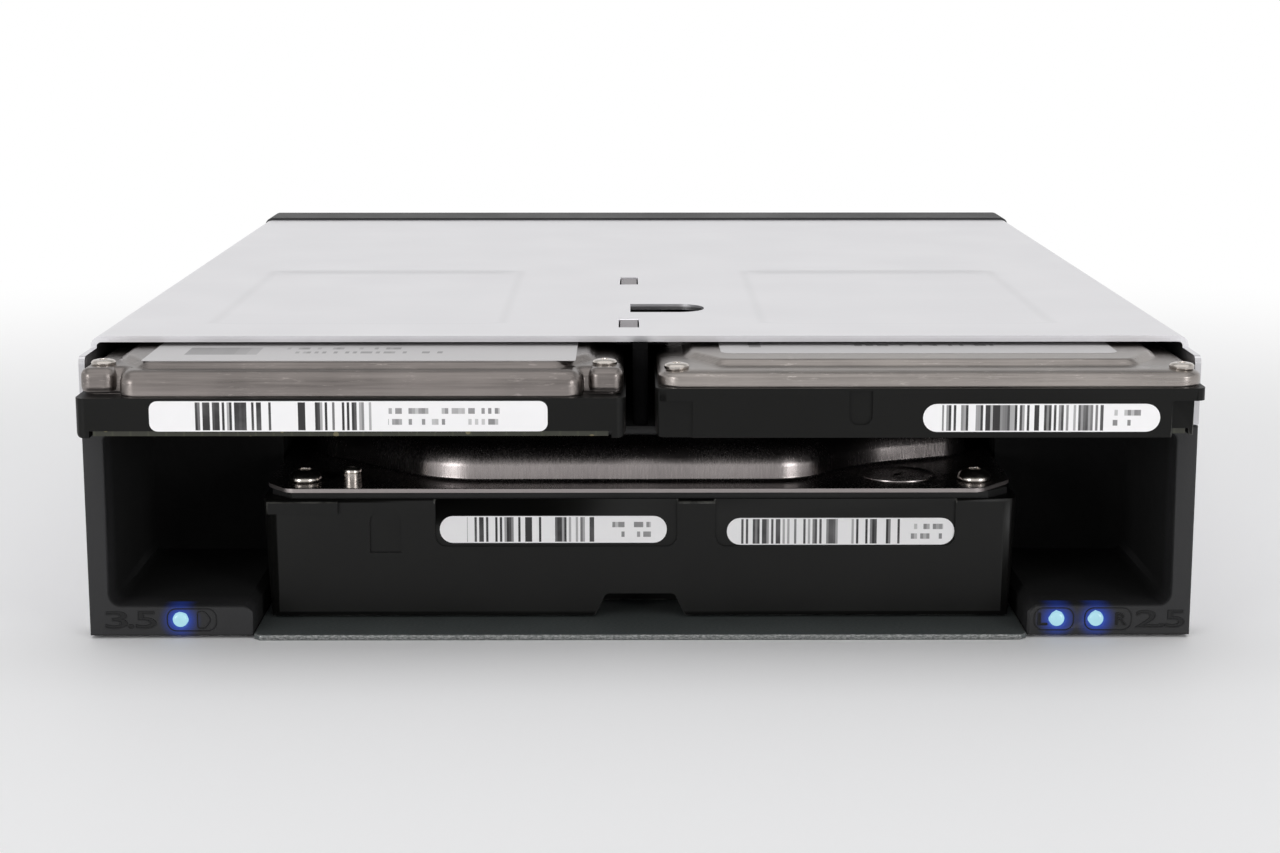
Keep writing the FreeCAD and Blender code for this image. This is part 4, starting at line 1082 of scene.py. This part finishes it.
class CAGE_OT_rear(bpy.types.Operator):
    """Rear cap, ports and their contacts"""

    bl_idname = "cage.rear"
    bl_label = "Rear end"

    def execute(self, context):
        sizes, colours = settings()
        moulding = coat_material("rear_cap_moulding", scaled(colours.moulding, 1.2), 0.3, (0.5, 0.6), 0.2)
        bm = rounded_copy("rear_cap", mm(sizes.moulding_round))
        finished("cap_moulding", bm, moulding, "cage", ["rear_cap"])
        nylon = coat_material("connector_nylon", scaled(colours.moulding, 0.7), 0.5, (0.36, 0.5), 0.05)
        for port, *_ in PORT_TONGUES:
            dress(port, nylon)
        for node in ("board_link", "big_socket", "left_socket", "right_socket"):
            dress(node, nylon)
        for drive in ALL_DRIVES:
            dress(drive + "_plug", nylon)
        self.contacts(sizes, colours)
        return {"FINISHED"}

    def contacts(self, sizes, colours):
        """Gold contacts under the tongues of the ports and plugs, beside each key."""
        gold = metal_material("gold_contacts", colours.gold, (0.6, 3.0, 3.0), (0.18, 0.3))
        pitch = mm(sizes.contact_pitch)
        strips = []
        for port, tongue, count in PORT_TONGUES:
            low, high = extent(port)
            middle = (low + high) / 2
            left = middle.x - tongue / 2
            ends = [high.y - inset for inset in PORT_CONTACT_ENDS]
            strips += self.strips(left, left + tongue - KEY_WIDTH, ends, middle.z, pitch, count)
        finished("port_contacts", combined(*strips), gold, "cage")
        for drive, drop in PLUG_DROPS:
            low, high = extent(drive + "_plug")
            centre = (low.x + high.x) / 2
            ends = [high.y - inset for inset in PLUG_CONTACT_ENDS]
            strips = []
            for start, end, count in PLUG_TONGUES:
                inner_end = centre + end - KEY_WIDTH
                strips += self.strips(centre + start, inner_end, ends, high.z - drop, pitch, count)
            finished(drive + "_contacts", combined(*strips), gold, drive)

    def strips(self, left, right, ends, under, pitch, count):
        """A row of thin contacts, centred under one tongue."""
        made = []
        for k in range(count):
            x = (left + right) / 2 + (k - (count - 1) / 2) * pitch
            x0 = x - CONTACT_HALF
            x1 = x + CONTACT_HALF
            plan = [(x0, ends[0]), (x1, ends[0]), (x1, ends[1]), (x0, ends[1])]
            made.append(slab(plan, [CONTACT_CORNER] * 4, under - CONTACT_BELOW, under + CONTACT_ABOVE)[0])
        return made


class CAGE_OT_inside(bpy.types.Operator):
    """Guides, boards, lamps and light pipes"""

    bl_idname = "cage.inside"
    bl_label = "Inner pieces"

    def execute(self, context):
        colours = settings()[1]
        moulding = coat_material("guide_moulding", scaled(colours.moulding, 0.6), 0.35, (0.5, 0.65), 0.15)
        dress("left_guide", moulding)
        dress("right_guide", moulding)
        board = board_material(colours)
        for holder in ("backplane", "upper", *ALL_DRIVES):
            dress(holder + "_board", board)
        hub = metal_material("turned_motor_hub", colours.screw, (1.2, 1.2, 1.2), (0.25, 0.4))
        for drive in ALL_DRIVES:
            dress(drive + "_motor", hub)
        dress("big_drive_gasket", coat_material("gasket_rubber", RUBBER, 0.6, (0.6, 0.75), 0.1))
        lit = lit_material("lit_light_pipe", tuple(colours.lamp), scaled(colours.lamp, 0.9), 0.9)
        blue = lit_material("blue_lamp", tuple(colours.glow), scaled(colours.glow, 0.7), 0.6)
        for side in LAMP_SIDES:
            dress(side + "_lamp", blue)
            low, high = extent(side + "_light_pipe")
            radius = (high.z - low.z) / 2
            middle = (low + high) / 2
            place = Matrix.Translation((middle.x, low.y, middle.z)) @ Matrix.Rotation(-math.pi / 2, 4, "X")
            rings = [(share * radius, depth) for share, depth in (*PIPE_DOME, (1.0, high.y - low.y))]
            bm = bmesh.new()
            turned(bm, rings, place)
            finished(side + "_pipe_rod", bm, lit, "cage", [side + "_light_pipe"])
        return {"FINISHED"}


class CAGE_OT_big_drive(bpy.types.Operator):
    """Big drive: casting, domed cover, screws and pin"""

    bl_idname = "cage.big_drive"
    bl_label = "Big drive"

    def execute(self, context):
        sizes, colours = settings()
        # Edges paler in patches: wear on the black coat, and painted glints
        casting = coat_material("black_casting", colours.casting, 0.5, (0.34, 0.46), 0.06, 0.22, 16.0)
        bm = rounded_copy("big_drive_base", mm(sizes.casting_round))
        finished("big_casting", bm, casting, "big_drive", ["big_drive_base"])
        bright = cover_material(colours)
        finished("big_cover_sheet", self.cover(), bright, "big_drive", ["big_drive_cover"])
        self.screws(colours)
        return {"FINISHED"}

    def cover(self):
        """Drawn cover: flat flange with cut corners, a dome with a curled foot, and a crown on it."""
        low, high = extent("big_drive_cover")
        top = flange_top()
        tier = high.z - CROWN_HEIGHT
        side = high.x - DOME_SIDE
        front = low.y + DOME_FRONT
        rear = high.y - DOME_REAR
        plate = self.flange(low, high, top)
        dome = self.dome(side, front, rear, top, tier)
        crown = self.crown(side - CROWN_INSET, front, rear, tier, high.z)
        dish = bmesh.new()
        across, back = COVER_DISH_PLACE
        turned(dish, COVER_DISH, Matrix.Translation((across, front + back, top)), COVER_DISH_SEGMENTS)
        return combined(plate, dome, crown, dish)

    def flange(self, low, high, top):
        """Flat flange with cut front corners and a rounded upper edge."""
        plan = [
            (low.x, low.y + 4.2), (low.x + 3.1, low.y), (high.x - 4.7, low.y), (high.x, low.y + 6.0),
            (high.x, high.y), (low.x, high.y),
        ]
        plate, face = slab(plan, [1.0, 1.0, 1.0, 1.0, 2.0, 2.0], low.z, top - FLANGE_ROUND)
        rise(plate, face, arc(FLANGE_ROUND, FLANGE_ROUND, 3))
        return plate

    def dome(self, side, front, rear, top, tier):
        """Dome with a curled foot and a soft shoulder, cut back beside the dish."""
        plan = [
            (-27.4, front - 0.6), (22.9, front - 0.6), (30.1, front + 9.4), (side, front + 16.9),
            (side, rear), (-side, rear), (-side, front + 19.4),
        ]
        dome, face = slab(plan, [5.0, 4.6, 4.6, 4.2, 5.0, 5.0, 5.0], top - 0.3, top - LAP)
        wall = hollow(0.5, 0.5, 4, 8.0) + [(0.07, 1.4), (0.12, 0.5), (0.18, 0.6), (0.26, 0.6), (0.36, 0.55)]
        rise(dome, face, wall + arc(1.9, tier - top + LAP - climb(wall), 6, 36.0))
        return dome

    def crown(self, edge, front, rear, tier, crest):
        """Raised middle of the dome, with clipped front corners."""
        plan = [
            (-edge, front + 20), (8 - edge, front + 12), (edge - 8, front + 12), (edge, front + 20),
            (edge, rear - 10), (-edge, rear - 10),
        ]
        crown, face = slab(plan, [3.0, 3.0, 3.0, 3.0, 6.0, 6.0], tier - 0.4, tier - LAP)
        wall = hollow(0.9, 0.7, 4, 30.0) + [(0.5, 0.8)]
        rise(crown, face, wall + arc(1.6, crest - tier + LAP - climb(wall), 6, 30.0))
        return crown

    def screws(self, colours):
        """Domed cover screws and the locating pin."""
        steel = metal_material("plated_screw_steel", colours.screw, (2.0, 2.0, 2.0), (0.14, 0.26))
        low, high = extent("big_drive_cover_screws")
        flange = flange_top()
        bm = bmesh.new()
        for x, y in corner_places(low, high, COVER_SCREW_RADIUS):
            turned(bm, COVER_SCREW, Matrix.Translation((x, y, flange)))
        finished("big_cover_screws", bm, steel, "big_drive", ["big_drive_cover_screws"])
        low, high = extent("big_drive_pin")
        middle = (low + high) / 2
        tall = high.z - flange
        rings = [
            (1.3, -2.6), (1.3, 0.62 * tall), (1.22, 0.66 * tall), (1.3, 0.7 * tall), (1.3, 0.88 * tall),
            (1.12, tall), (0.55, tall), (0.5, tall - 0.12),
        ]
        bm = bmesh.new()
        turned(bm, rings, Matrix.Translation((middle.x, middle.y, flange)))
        finished("big_cover_pin", bm, steel, "big_drive", ["big_drive_pin"])


class CAGE_OT_small_drives(bpy.types.Operator):
    """Small drives: castings, covers and screws"""

    bl_idname = "cage.small_drives"
    bl_label = "Small drives"

    def execute(self, context):
        sizes, colours = settings()
        # Edges paler in patches: wear on the black coat, and painted glints
        casting = coat_material("small_casting", colours.casting, 0.4, (0.36, 0.48), 0.05, 0.15, 16.0)
        steel = metal_material("small_screw_steel", colours.screw, (2.0, 2.0, 2.0), (0.16, 0.3))
        for drive in SMALL_DRIVES:
            bm = rounded_copy(drive + "_base", mm(sizes.casting_round))
            finished(drive + "_casting", bm, casting, drive, [drive + "_base"])
            eared = drive == "left_drive"
            tint = colours.left_cover if eared else colours.right_cover
            satin = satin_material(drive + "_satin_cover", tint, extent(drive + "_cover")[0].z)
            bm = self.cover(drive, eared)
            finished(drive + "_cover_sheet", bm, satin, drive, [drive + "_cover"])
            self.screws(drive, steel)
        return {"FINISHED"}

    def screws(self, drive, steel):
        """Low domed screws at the corners of a cover."""
        low, high = extent(drive + "_cover_screws")
        seat = high.z - SMALL_SCREW_SEAT
        rings = ((SHANK_RADIUS, low.z - seat), *SMALL_SCREW_HEAD)
        bm = bmesh.new()
        for x, y in corner_places(low, high, SMALL_SCREW_RADIUS):
            turned(bm, rings, Matrix.Translation((x, y, seat)))
        finished(drive + "_screw_heads", bm, steel, drive, [drive + "_cover_screws"])

    def cover(self, drive, eared):
        """Drawn cover with a pillowed rim, a raised label area and, on one drive, puffed front ears."""
        low, high = extent(drive + "_cover")
        shoulder = high.z - AREA_HEIGHT
        meshes = [self.body(low, high, shoulder, eared)]
        if eared:
            meshes += self.ears(low, high, shoulder)
        meshes.append(self.label_area(low, high, shoulder, eared))
        return combined(*meshes)

    def body(self, low, high, shoulder, eared):
        """Walls with a flared foot and a rounded brow, notched in front where the ears stand."""
        if eared:
            brow = arc(1.8, 1.7, 8)
            back = low.y + EAR_NOTCH
            notch = EAR_WIDTH + EAR_GROOVE
            plan = [
                (low.x + notch, low.y), (high.x - notch, low.y), (high.x - notch, back), (high.x, back),
                (high.x, high.y), (low.x, high.y), (low.x, back), (low.x + notch, back),
            ]
            rounds = [2.0, 2.0, 0.4, 2.0, 2.2, 2.2, 2.0, 0.4]
        else:
            brow = arc(2.4, 0.9, 8)
            plan = [(low.x, low.y), (high.x, low.y), (high.x, high.y), (low.x, high.y)]
            rounds = [2.8] * 4
        body, face = slab(plan, rounds, low.z, low.z + BODY_FOOT)
        flare = [(-0.06, 0.1), (-0.04, 0.2)]
        straight = shoulder - low.z - BODY_FOOT - climb(flare) - climb(brow)
        rise(body, face, [*flare, (0.0, straight), *brow])
        return body

    def ears(self, low, high, shoulder):
        """Two puffed ears that carry the front screws, a little above the shoulder."""
        made = []
        start = low.y + EAR_FRONT
        end = low.y + EAR_REAR
        foot_low, foot_high = (low.z + lift for lift in EAR_FOOT)
        flare = [(-0.08, 0.2), (-0.04, 0.3)]
        straight = shoulder + EAR_PROUD - foot_high - climb(flare) - EAR_RIM
        for x0, x1 in ((low.x, low.x + EAR_WIDTH), (high.x - EAR_WIDTH, high.x)):
            plan = [(x0, start), (x1, start), (x1, end), (x0, end)]
            puff, face = slab(plan, [1.3] * 4, foot_low, foot_high)
            rise(puff, face, [*flare, (0.0, straight), *arc(EAR_RIM, EAR_RIM, 6)])
            made.append(puff)
        return made

    def label_area(self, low, high, shoulder, eared):
        """Raised area under the top label, with clipped corners."""
        middle = (low.x + high.x) / 2
        front = low.y + (1.5 if eared else 3.6)
        rear = high.y - 3
        half_plan = [
            (AREA_INNER, front), (AREA_OUTER, front + 8), (AREA_OUTER, rear - 6), (AREA_INNER, rear),
        ]
        plan = [(middle + x, y) for x, y in half_plan] + [(middle - x, y) for x, y in reversed(half_plan)]
        area, face = slab(plan, [1.6] * 8, shoulder - 0.3, shoulder - LAP)
        wall = hollow(0.7, 0.3, 4, 50.0) + [(0.3, 0.16)]
        rise(area, face, wall + arc(0.8, high.z - shoulder + LAP - climb(wall), 4, 50.0))
        return area


class CAGE_OT_labels(bpy.types.Operator):
    """White labels on the fronts and tops of the drives"""

    bl_idname = "cage.labels"
    bl_label = "Labels"

    def execute(self, context):
        sizes, colours = settings()
        paper = mm(sizes.paper)
        tall = mm(sizes.label_height)
        ahead = extent("left_drive_base")[0].y
        pocket = extent("big_drive_base")[0].y + LABEL_POCKET
        # Body, name, (left, right), (low side, extra height), front, corner, shares of the print
        fronts = [
            ("left_drive", "left_front", (-62.25, -11.8), (29.72, 0.2), ahead, 1.05, (0.1, 0.56, 0.6, 0.88)),
            ("right_drive", "right_front", (35.8, 65.9), (29.6, -0.1), ahead, 1.8, (0.08, 0.76, 0.8, 0.95)),
            ("big_drive", "first_pocket", (-27.0, 3.6), (11.3, 0.0), pocket, 1.8, (0.12, 0.72, 0.76, 0.93)),
            ("big_drive", "second_pocket", (11.7, 42.4), (11.0, 0.0), pocket, 1.8, (0.06, 0.76, 0.8, 0.95)),
        ]
        for seed, (body, face, (x0, x1), (low, extra), front, corner, shares) in enumerate(fronts, 2):
            name = face + "_label"
            high = low + tall + extra
            bar_left, bar_right, row_left, row_right = (x0 + share * (x1 - x0) for share in shares)
            prints = [(bar_left, bar_right, low + BAR_MARGIN, high - BAR_MARGIN, BAR_PITCH, 1.0)]
            for share in ROW_SHARES:
                base = low + share * (high - low)
                prints.append((row_left, row_right, base, base + ROW_HEIGHT * tall, ROW_PITCH, ROW_DARKNESS))
            material = label_material(name + "_paper", colours, colours.paper, "Z", prints, 10 * seed)
            outline = [(x0, low), (x1, low), (x1, high), (x0, high)]
            bm = slab(outline, [corner] * 4, 0.0, paper)[0]
            bmesh.ops.transform(bm, matrix=lie((0, front, 0)), verts=bm.verts)
            finished(name, bm, material, body)
        self.top_labels(colours, paper)
        return {"FINISHED"}

    def top_labels(self, colours, paper):
        """Labels on the raised tops of the small drives."""
        tops = (("left_drive", -63.8, -8.3, 3.4, 0.4), ("right_drive", 10.5, 62.4, 9.4, 1.6))
        for seed, (drive, x0, x1, setback, corner) in enumerate(tops, 11):
            low, high = extent(drive + "_cover")
            y0 = low.y + setback
            y1 = high.y - 12.0
            prints = [
                (x0 + 3, x0 + 14, y0 + 5, y0 + 11, 1.6, 0.5),
                (x0 + 17, x0 + 38, y0 + 6, y0 + 7.6, 0.5, 0.55),
                (x0 + 17, x0 + 33, y0 + 9.4, y0 + 11, 0.5, 0.55),
                (x1 - 26, x1 - 4, y0 + 36, y0 + 44, 0.36, 0.9),
                (x0 + 4, x0 + 30, y0 + 52, y0 + 55, 0.9, 0.7),
                (x0 + 4, x0 + 24, y0 + 58, y0 + 61, 0.9, 0.7),
                (x1 - 20, x1 - 4, y0 + 53, y0 + 63, 1.4, 0.45),
            ]
            for k in range(5):
                back = y0 + 20 + 5.2 * k
                prints.append((x0 + 4, x1 - 30 + 3 * (k % 3), back, back + 1.5, 0.55, 0.6))
            name = drive + "_top_paper_painted_shade"
            # Painted shade: the top labels use the paper in a greyer tone
            material = label_material(name, colours, colours.top_paper_painted_shade, "Y", prints, 10 * seed)
            bm = slab([(x0, y0), (x1, y0), (x1, y1), (x0, y1)], [corner] * 4, high.z, high.z + paper)[0]
            finished(drive + "_top_label", bm, material, drive)


class CAGE_OT_marks(bpy.types.Operator):
    """Raised outlines on the feet: drive sizes, and frames round the lamps, darker than the moulding as
    painted shade of engraved marks
    """

    bl_idname = "cage.marks"
    bl_label = "Foot marks"

    def execute(self, context):
        sizes, colours = settings()
        line = mm(sizes.engraving)
        tall = mm(sizes.mark_height)
        low, high = extent("left_light_pipe")
        level = (low.z + high.z) / 2
        half = tall / 2
        low_side = level - half
        high_side = level + half
        dot_top = low_side + DOT_HEIGHT
        letter_low = level - LETTER_HALF
        letter_high = level + LETTER_HALF
        # Character, left, right, low side, high side
        words = (
            ("3", -70.9, -68.0, low_side, high_side), (".", -67.9, -67.2, low_side, dot_top),
            ("5", -66.9, -64.2, low_side, high_side), ("2", 65.8, 68.7, low_side, high_side),
            (".", 68.8, 69.5, low_side, dot_top), ("5", 69.7, 72.2, low_side, high_side),
            ("L", 52.8, 54.0, letter_low, letter_high), ("R", 63.1, 64.5, letter_low, letter_high),
        )
        fields = [self.lettering(*word, 0.0) for word in words]
        ridges = [self.lettering(*word, line) for word in words]
        base = ARROW_BASE
        tip = base + ARROW_LENGTH
        neck = tip - ARROW_HEAD
        arrow = [(base, low_side), (neck, low_side), (tip, level), (neck, high_side), (base, high_side)]
        ridges.append(self.border(arrow, ARROW_CORNER, line))
        edge = half + FRAME_GAP
        for x0, x1 in LAMP_FRAMES:
            outline = [(x0, level - edge), (x1, level - edge), (x1, level + edge), (x0, level + edge)]
            ridges.append(self.border(outline, FRAME_CORNER, line))
        front = extent("front_frame")[0].y
        # Painted shade: the characters are filled darker than the moulding, for shade in engraved marks
        dark = coat_material("mark_field_painted_shade", scaled(colours.moulding, 0.45), 0.2, (0.6, 0.7), 0.1)
        bm = combined(*fields)
        bmesh.ops.transform(bm, matrix=lie((0, front, 0)), verts=bm.verts)
        finished("foot_mark_fields", bm, dark, "cage")
        # Painted shade: the ridges are darker than the moulding too
        ridge = coat_material("mark_ridge_painted_shade", scaled(colours.moulding, 0.6), 0.2, (0.3, 0.42), 0.1)
        bm = combined(*ridges)
        bmesh.ops.transform(bm, matrix=lie((0, front, 0)), verts=bm.verts)
        finished("foot_mark_ridges", bm, ridge, "cage")
        return {"FINISHED"}

    def lettering(self, words, x0, x1, low, high, line):
        """Characters drawn to a given width and height: flat, or as thin ridges along their outlines."""
        curve = bpy.data.curves.new("mark", "FONT")
        curve.body = words
        curve.resolution_u = 4
        curve.offset = MARK_WEIGHT
        if line > 0:
            curve.fill_mode = "NONE"
        holder = bpy.data.objects.new("mark", curve)
        mesh = bpy.data.meshes.new_from_object(holder)
        across = [vert.co.x for vert in mesh.vertices]
        upward = [vert.co.y for vert in mesh.vertices]
        wide = (x1 - x0) / (max(across) - min(across))
        tall = (high - low) / (max(upward) - min(upward))
        bm = bmesh.new()
        bm.from_mesh(mesh)
        bmesh.ops.translate(bm, vec=(-min(across), -min(upward), 0), verts=bm.verts)
        bmesh.ops.scale(bm, vec=(wide, tall, 1), verts=bm.verts)
        bmesh.ops.translate(bm, vec=(x0, low, 0), verts=bm.verts)
        bpy.data.objects.remove(holder)
        bpy.data.curves.remove(curve)
        bpy.data.meshes.remove(mesh)
        if line > 0:
            return self.ridge(bm, line)
        lift = 0.25 * mm(bpy.context.scene.cage_sizes.engraving)
        bmesh.ops.translate(bm, vec=(0, 0, lift), verts=bm.verts)
        return bm

    def ridge(self, bm, line):
        """Low raised band along each edge of a flat outline."""
        made = bmesh.new()
        for edge in bm.edges:
            first, second = (vert.co.copy() for vert in edge.verts)
            side = Vector((first.y - second.y, second.x - first.x, 0))
            if side.length < 1e-6:
                continue
            side *= line / side.length
            corners = ((first, -side), (second, -side), (second, side), (first, side))
            base = [made.verts.new(point + out) for point, out in corners]
            lift = Vector((0, 0, line))
            crest = [made.verts.new(point + out / 2 + lift) for point, out in corners]
            made.faces.new(crest)
            for k in range(4):
                made.faces.new((base[k], base[(k + 1) % 4], crest[(k + 1) % 4], crest[k]))
        bm.free()
        bmesh.ops.recalc_face_normals(made, faces=made.faces)
        return made

    def border(self, corners, length, line):
        """Thin raised rim along a rounded outline."""
        bm = bmesh.new()
        verts = [bm.verts.new((x, y, 0.0)) for x, y in corners]
        bm.faces.new(verts)
        bmesh.ops.bevel(
            bm, geom=verts, offset=length, offset_type="OFFSET", segments=6,
            profile=0.5, affect="VERTICES", material=-1,
        )
        return self.ridge(bm, line)


class CAGE_OT_stage(bpy.types.Operator):
    """Pale floor, soft light and the camera of the photograph"""

    bl_idname = "cage.stage"
    bl_label = "Stage"

    def execute(self, context):
        stage = context.scene.cage_stage
        context.scene.view_settings.view_transform = "Standard"
        self.floor()
        self.world(stage)
        self.softbox("key_light", KEY_PLACE, KEY_TARGET, KEY_SIZE, stage.key_power)
        across, back, up = FILL_PLACE
        for name, x in (("left_fill", -across), ("right_fill", across)):
            self.softbox(name, (x, back, up), FILL_TARGET, FILL_SIZE, stage.fill_power)
        lens = bpy.data.cameras.new("photo_camera")
        lens.sensor_width = SENSOR_WIDTH
        lens.lens = stage.focal_pixels / PHOTO_WIDTH * SENSOR_WIDTH
        lens.clip_start = 0.01
        camera = bpy.data.objects.new("photo_camera", lens)
        camera.location = stage.eye
        camera.rotation_euler = Euler((math.pi / 2 - stage.pitch, 0.0, -stage.yaw))
        context.scene.collection.objects.link(camera)
        context.scene.camera = camera
        return {"FINISHED"}

    def floor(self):
        """Pale floor that goes over to white away from the object."""
        bm = bmesh.new()
        bmesh.ops.create_grid(bm, x_segments=1, y_segments=1, size=FLOOR_HALF)
        mesh = bpy.data.meshes.new("pale_floor")
        bm.to_mesh(mesh)
        bm.free()
        material, tree, shader = blank_material("pale_floor", roughness=0.6, shine=FLOOR_SHINE)
        shader["Base Color"].default_value = FLOOR_COLOUR
        point = split_point(tree)
        across = calc(tree, "MULTIPLY", point["X"], point["X"])
        distance = calc(tree, "SQRT", calc(tree, "MULTIPLY_ADD", point["Y"], point["Y"], across))
        white = add_node(tree, "ShaderNodeEmission")
        mix = add_node(tree, "ShaderNodeMixShader")
        seen = calc(tree, "MULTIPLY", fade(tree, distance, *FLOOR_FADE), self.seen_rays(tree))
        feed(tree, mix.inputs[0], seen)
        tree.links.new(tree.nodes["Principled BSDF"].outputs[0], mix.inputs[1])
        tree.links.new(white.outputs[0], mix.inputs[2])
        tree.links.new(mix.outputs[0], tree.nodes["Material Output"].inputs["Surface"])
        mesh.materials.append(material)
        floor = bpy.data.objects.new("pale_floor", mesh)
        bpy.context.scene.collection.objects.link(floor)

    def seen_rays(self, tree):
        """1 for what the camera sees, straight, mirrored or through glass."""
        path = add_node(tree, "ShaderNodeLightPath").outputs
        straight = calc(tree, "MAXIMUM", path["Is Camera Ray"], path["Is Glossy Ray"])
        return calc(tree, "MAXIMUM", straight, path["Is Transmission Ray"])

    def world(self, stage):
        """White surroundings, dimmer overhead, and dimmer as a light than as a background."""
        world = bpy.data.worlds.new("white_surroundings")
        world.use_nodes = True
        tree = world.node_tree
        background = tree.nodes["Background"].inputs
        background["Color"].default_value = (1, 1, 1, 1)
        way = add_node(tree, "ShaderNodeSeparateXYZ")
        tree.links.new(add_node(tree, "ShaderNodeTexCoord").outputs["Generated"], way.inputs[0])
        shown = fade(tree, way.outputs["Z"], *CEILING_BAND, 1.0, stage.ceiling)
        strength = fade(tree, self.seen_rays(tree), 0.0, 1.0, stage.ambient, shown)
        feed(tree, background["Strength"], strength)
        bpy.context.scene.world = world

    def softbox(self, name, place, target, size, power):
        """Square area lamp that faces a point."""
        lamp = bpy.data.lights.new(name, "AREA")
        lamp.size = size
        lamp.energy = power
        box = bpy.data.objects.new(name, lamp)
        box.location = place
        box.rotation_euler = (Vector(target) - Vector(place)).to_track_quat("-Z", "Y").to_euler()
        bpy.context.scene.collection.objects.link(box)


OPERATORS = (
    CAGE_OT_shell,
    CAGE_OT_front,
    CAGE_OT_rear,
    CAGE_OT_inside,
    CAGE_OT_big_drive,
    CAGE_OT_small_drives,
    CAGE_OT_labels,
    CAGE_OT_marks,
    CAGE_OT_stage,
)


class CAGE_PT_panel(bpy.types.Panel):
    """Lists the pieces and their settings"""

    bl_idname = "CAGE_PT_panel"
    bl_label = "Hard drive cage"
    bl_space_type = "VIEW_3D"
    bl_region_type = "UI"
    bl_category = "Drive Cage"

    def draw(self, context):
        for operator in OPERATORS:
            self.layout.operator(operator.bl_idname)
        for group in (context.scene.cage_sizes, context.scene.cage_colours, context.scene.cage_stage):
            box = self.layout.box()
            for name in group.bl_rna.properties.keys():
                if name not in ("rna_type", "name"):
                    box.prop(group, name)


GROUPS = {"cage_sizes": CageSizes, "cage_colours": CageColours, "cage_stage": CageStage}


def register():
    """Add the classes and the settings."""
    for cls in (*GROUPS.values(), *OPERATORS, CAGE_PT_panel):
        bpy.utils.register_class(cls)
    for name, cls in GROUPS.items():
        setattr(bpy.types.Scene, name, bpy.props.PointerProperty(type=cls))


def unregister():
    """Take the classes and the settings away."""
    for name in GROUPS:
        delattr(bpy.types.Scene, name)
    for cls in reversed((*GROUPS.values(), *OPERATORS, CAGE_PT_panel)):
        bpy.utils.unregister_class(cls)


def main():
    """Build every piece."""
    register()
    for operator in OPERATORS:
        group, name = operator.bl_idname.split(".")
        getattr(getattr(bpy.ops, group), name)()


if __name__ == "__main__":
    main()
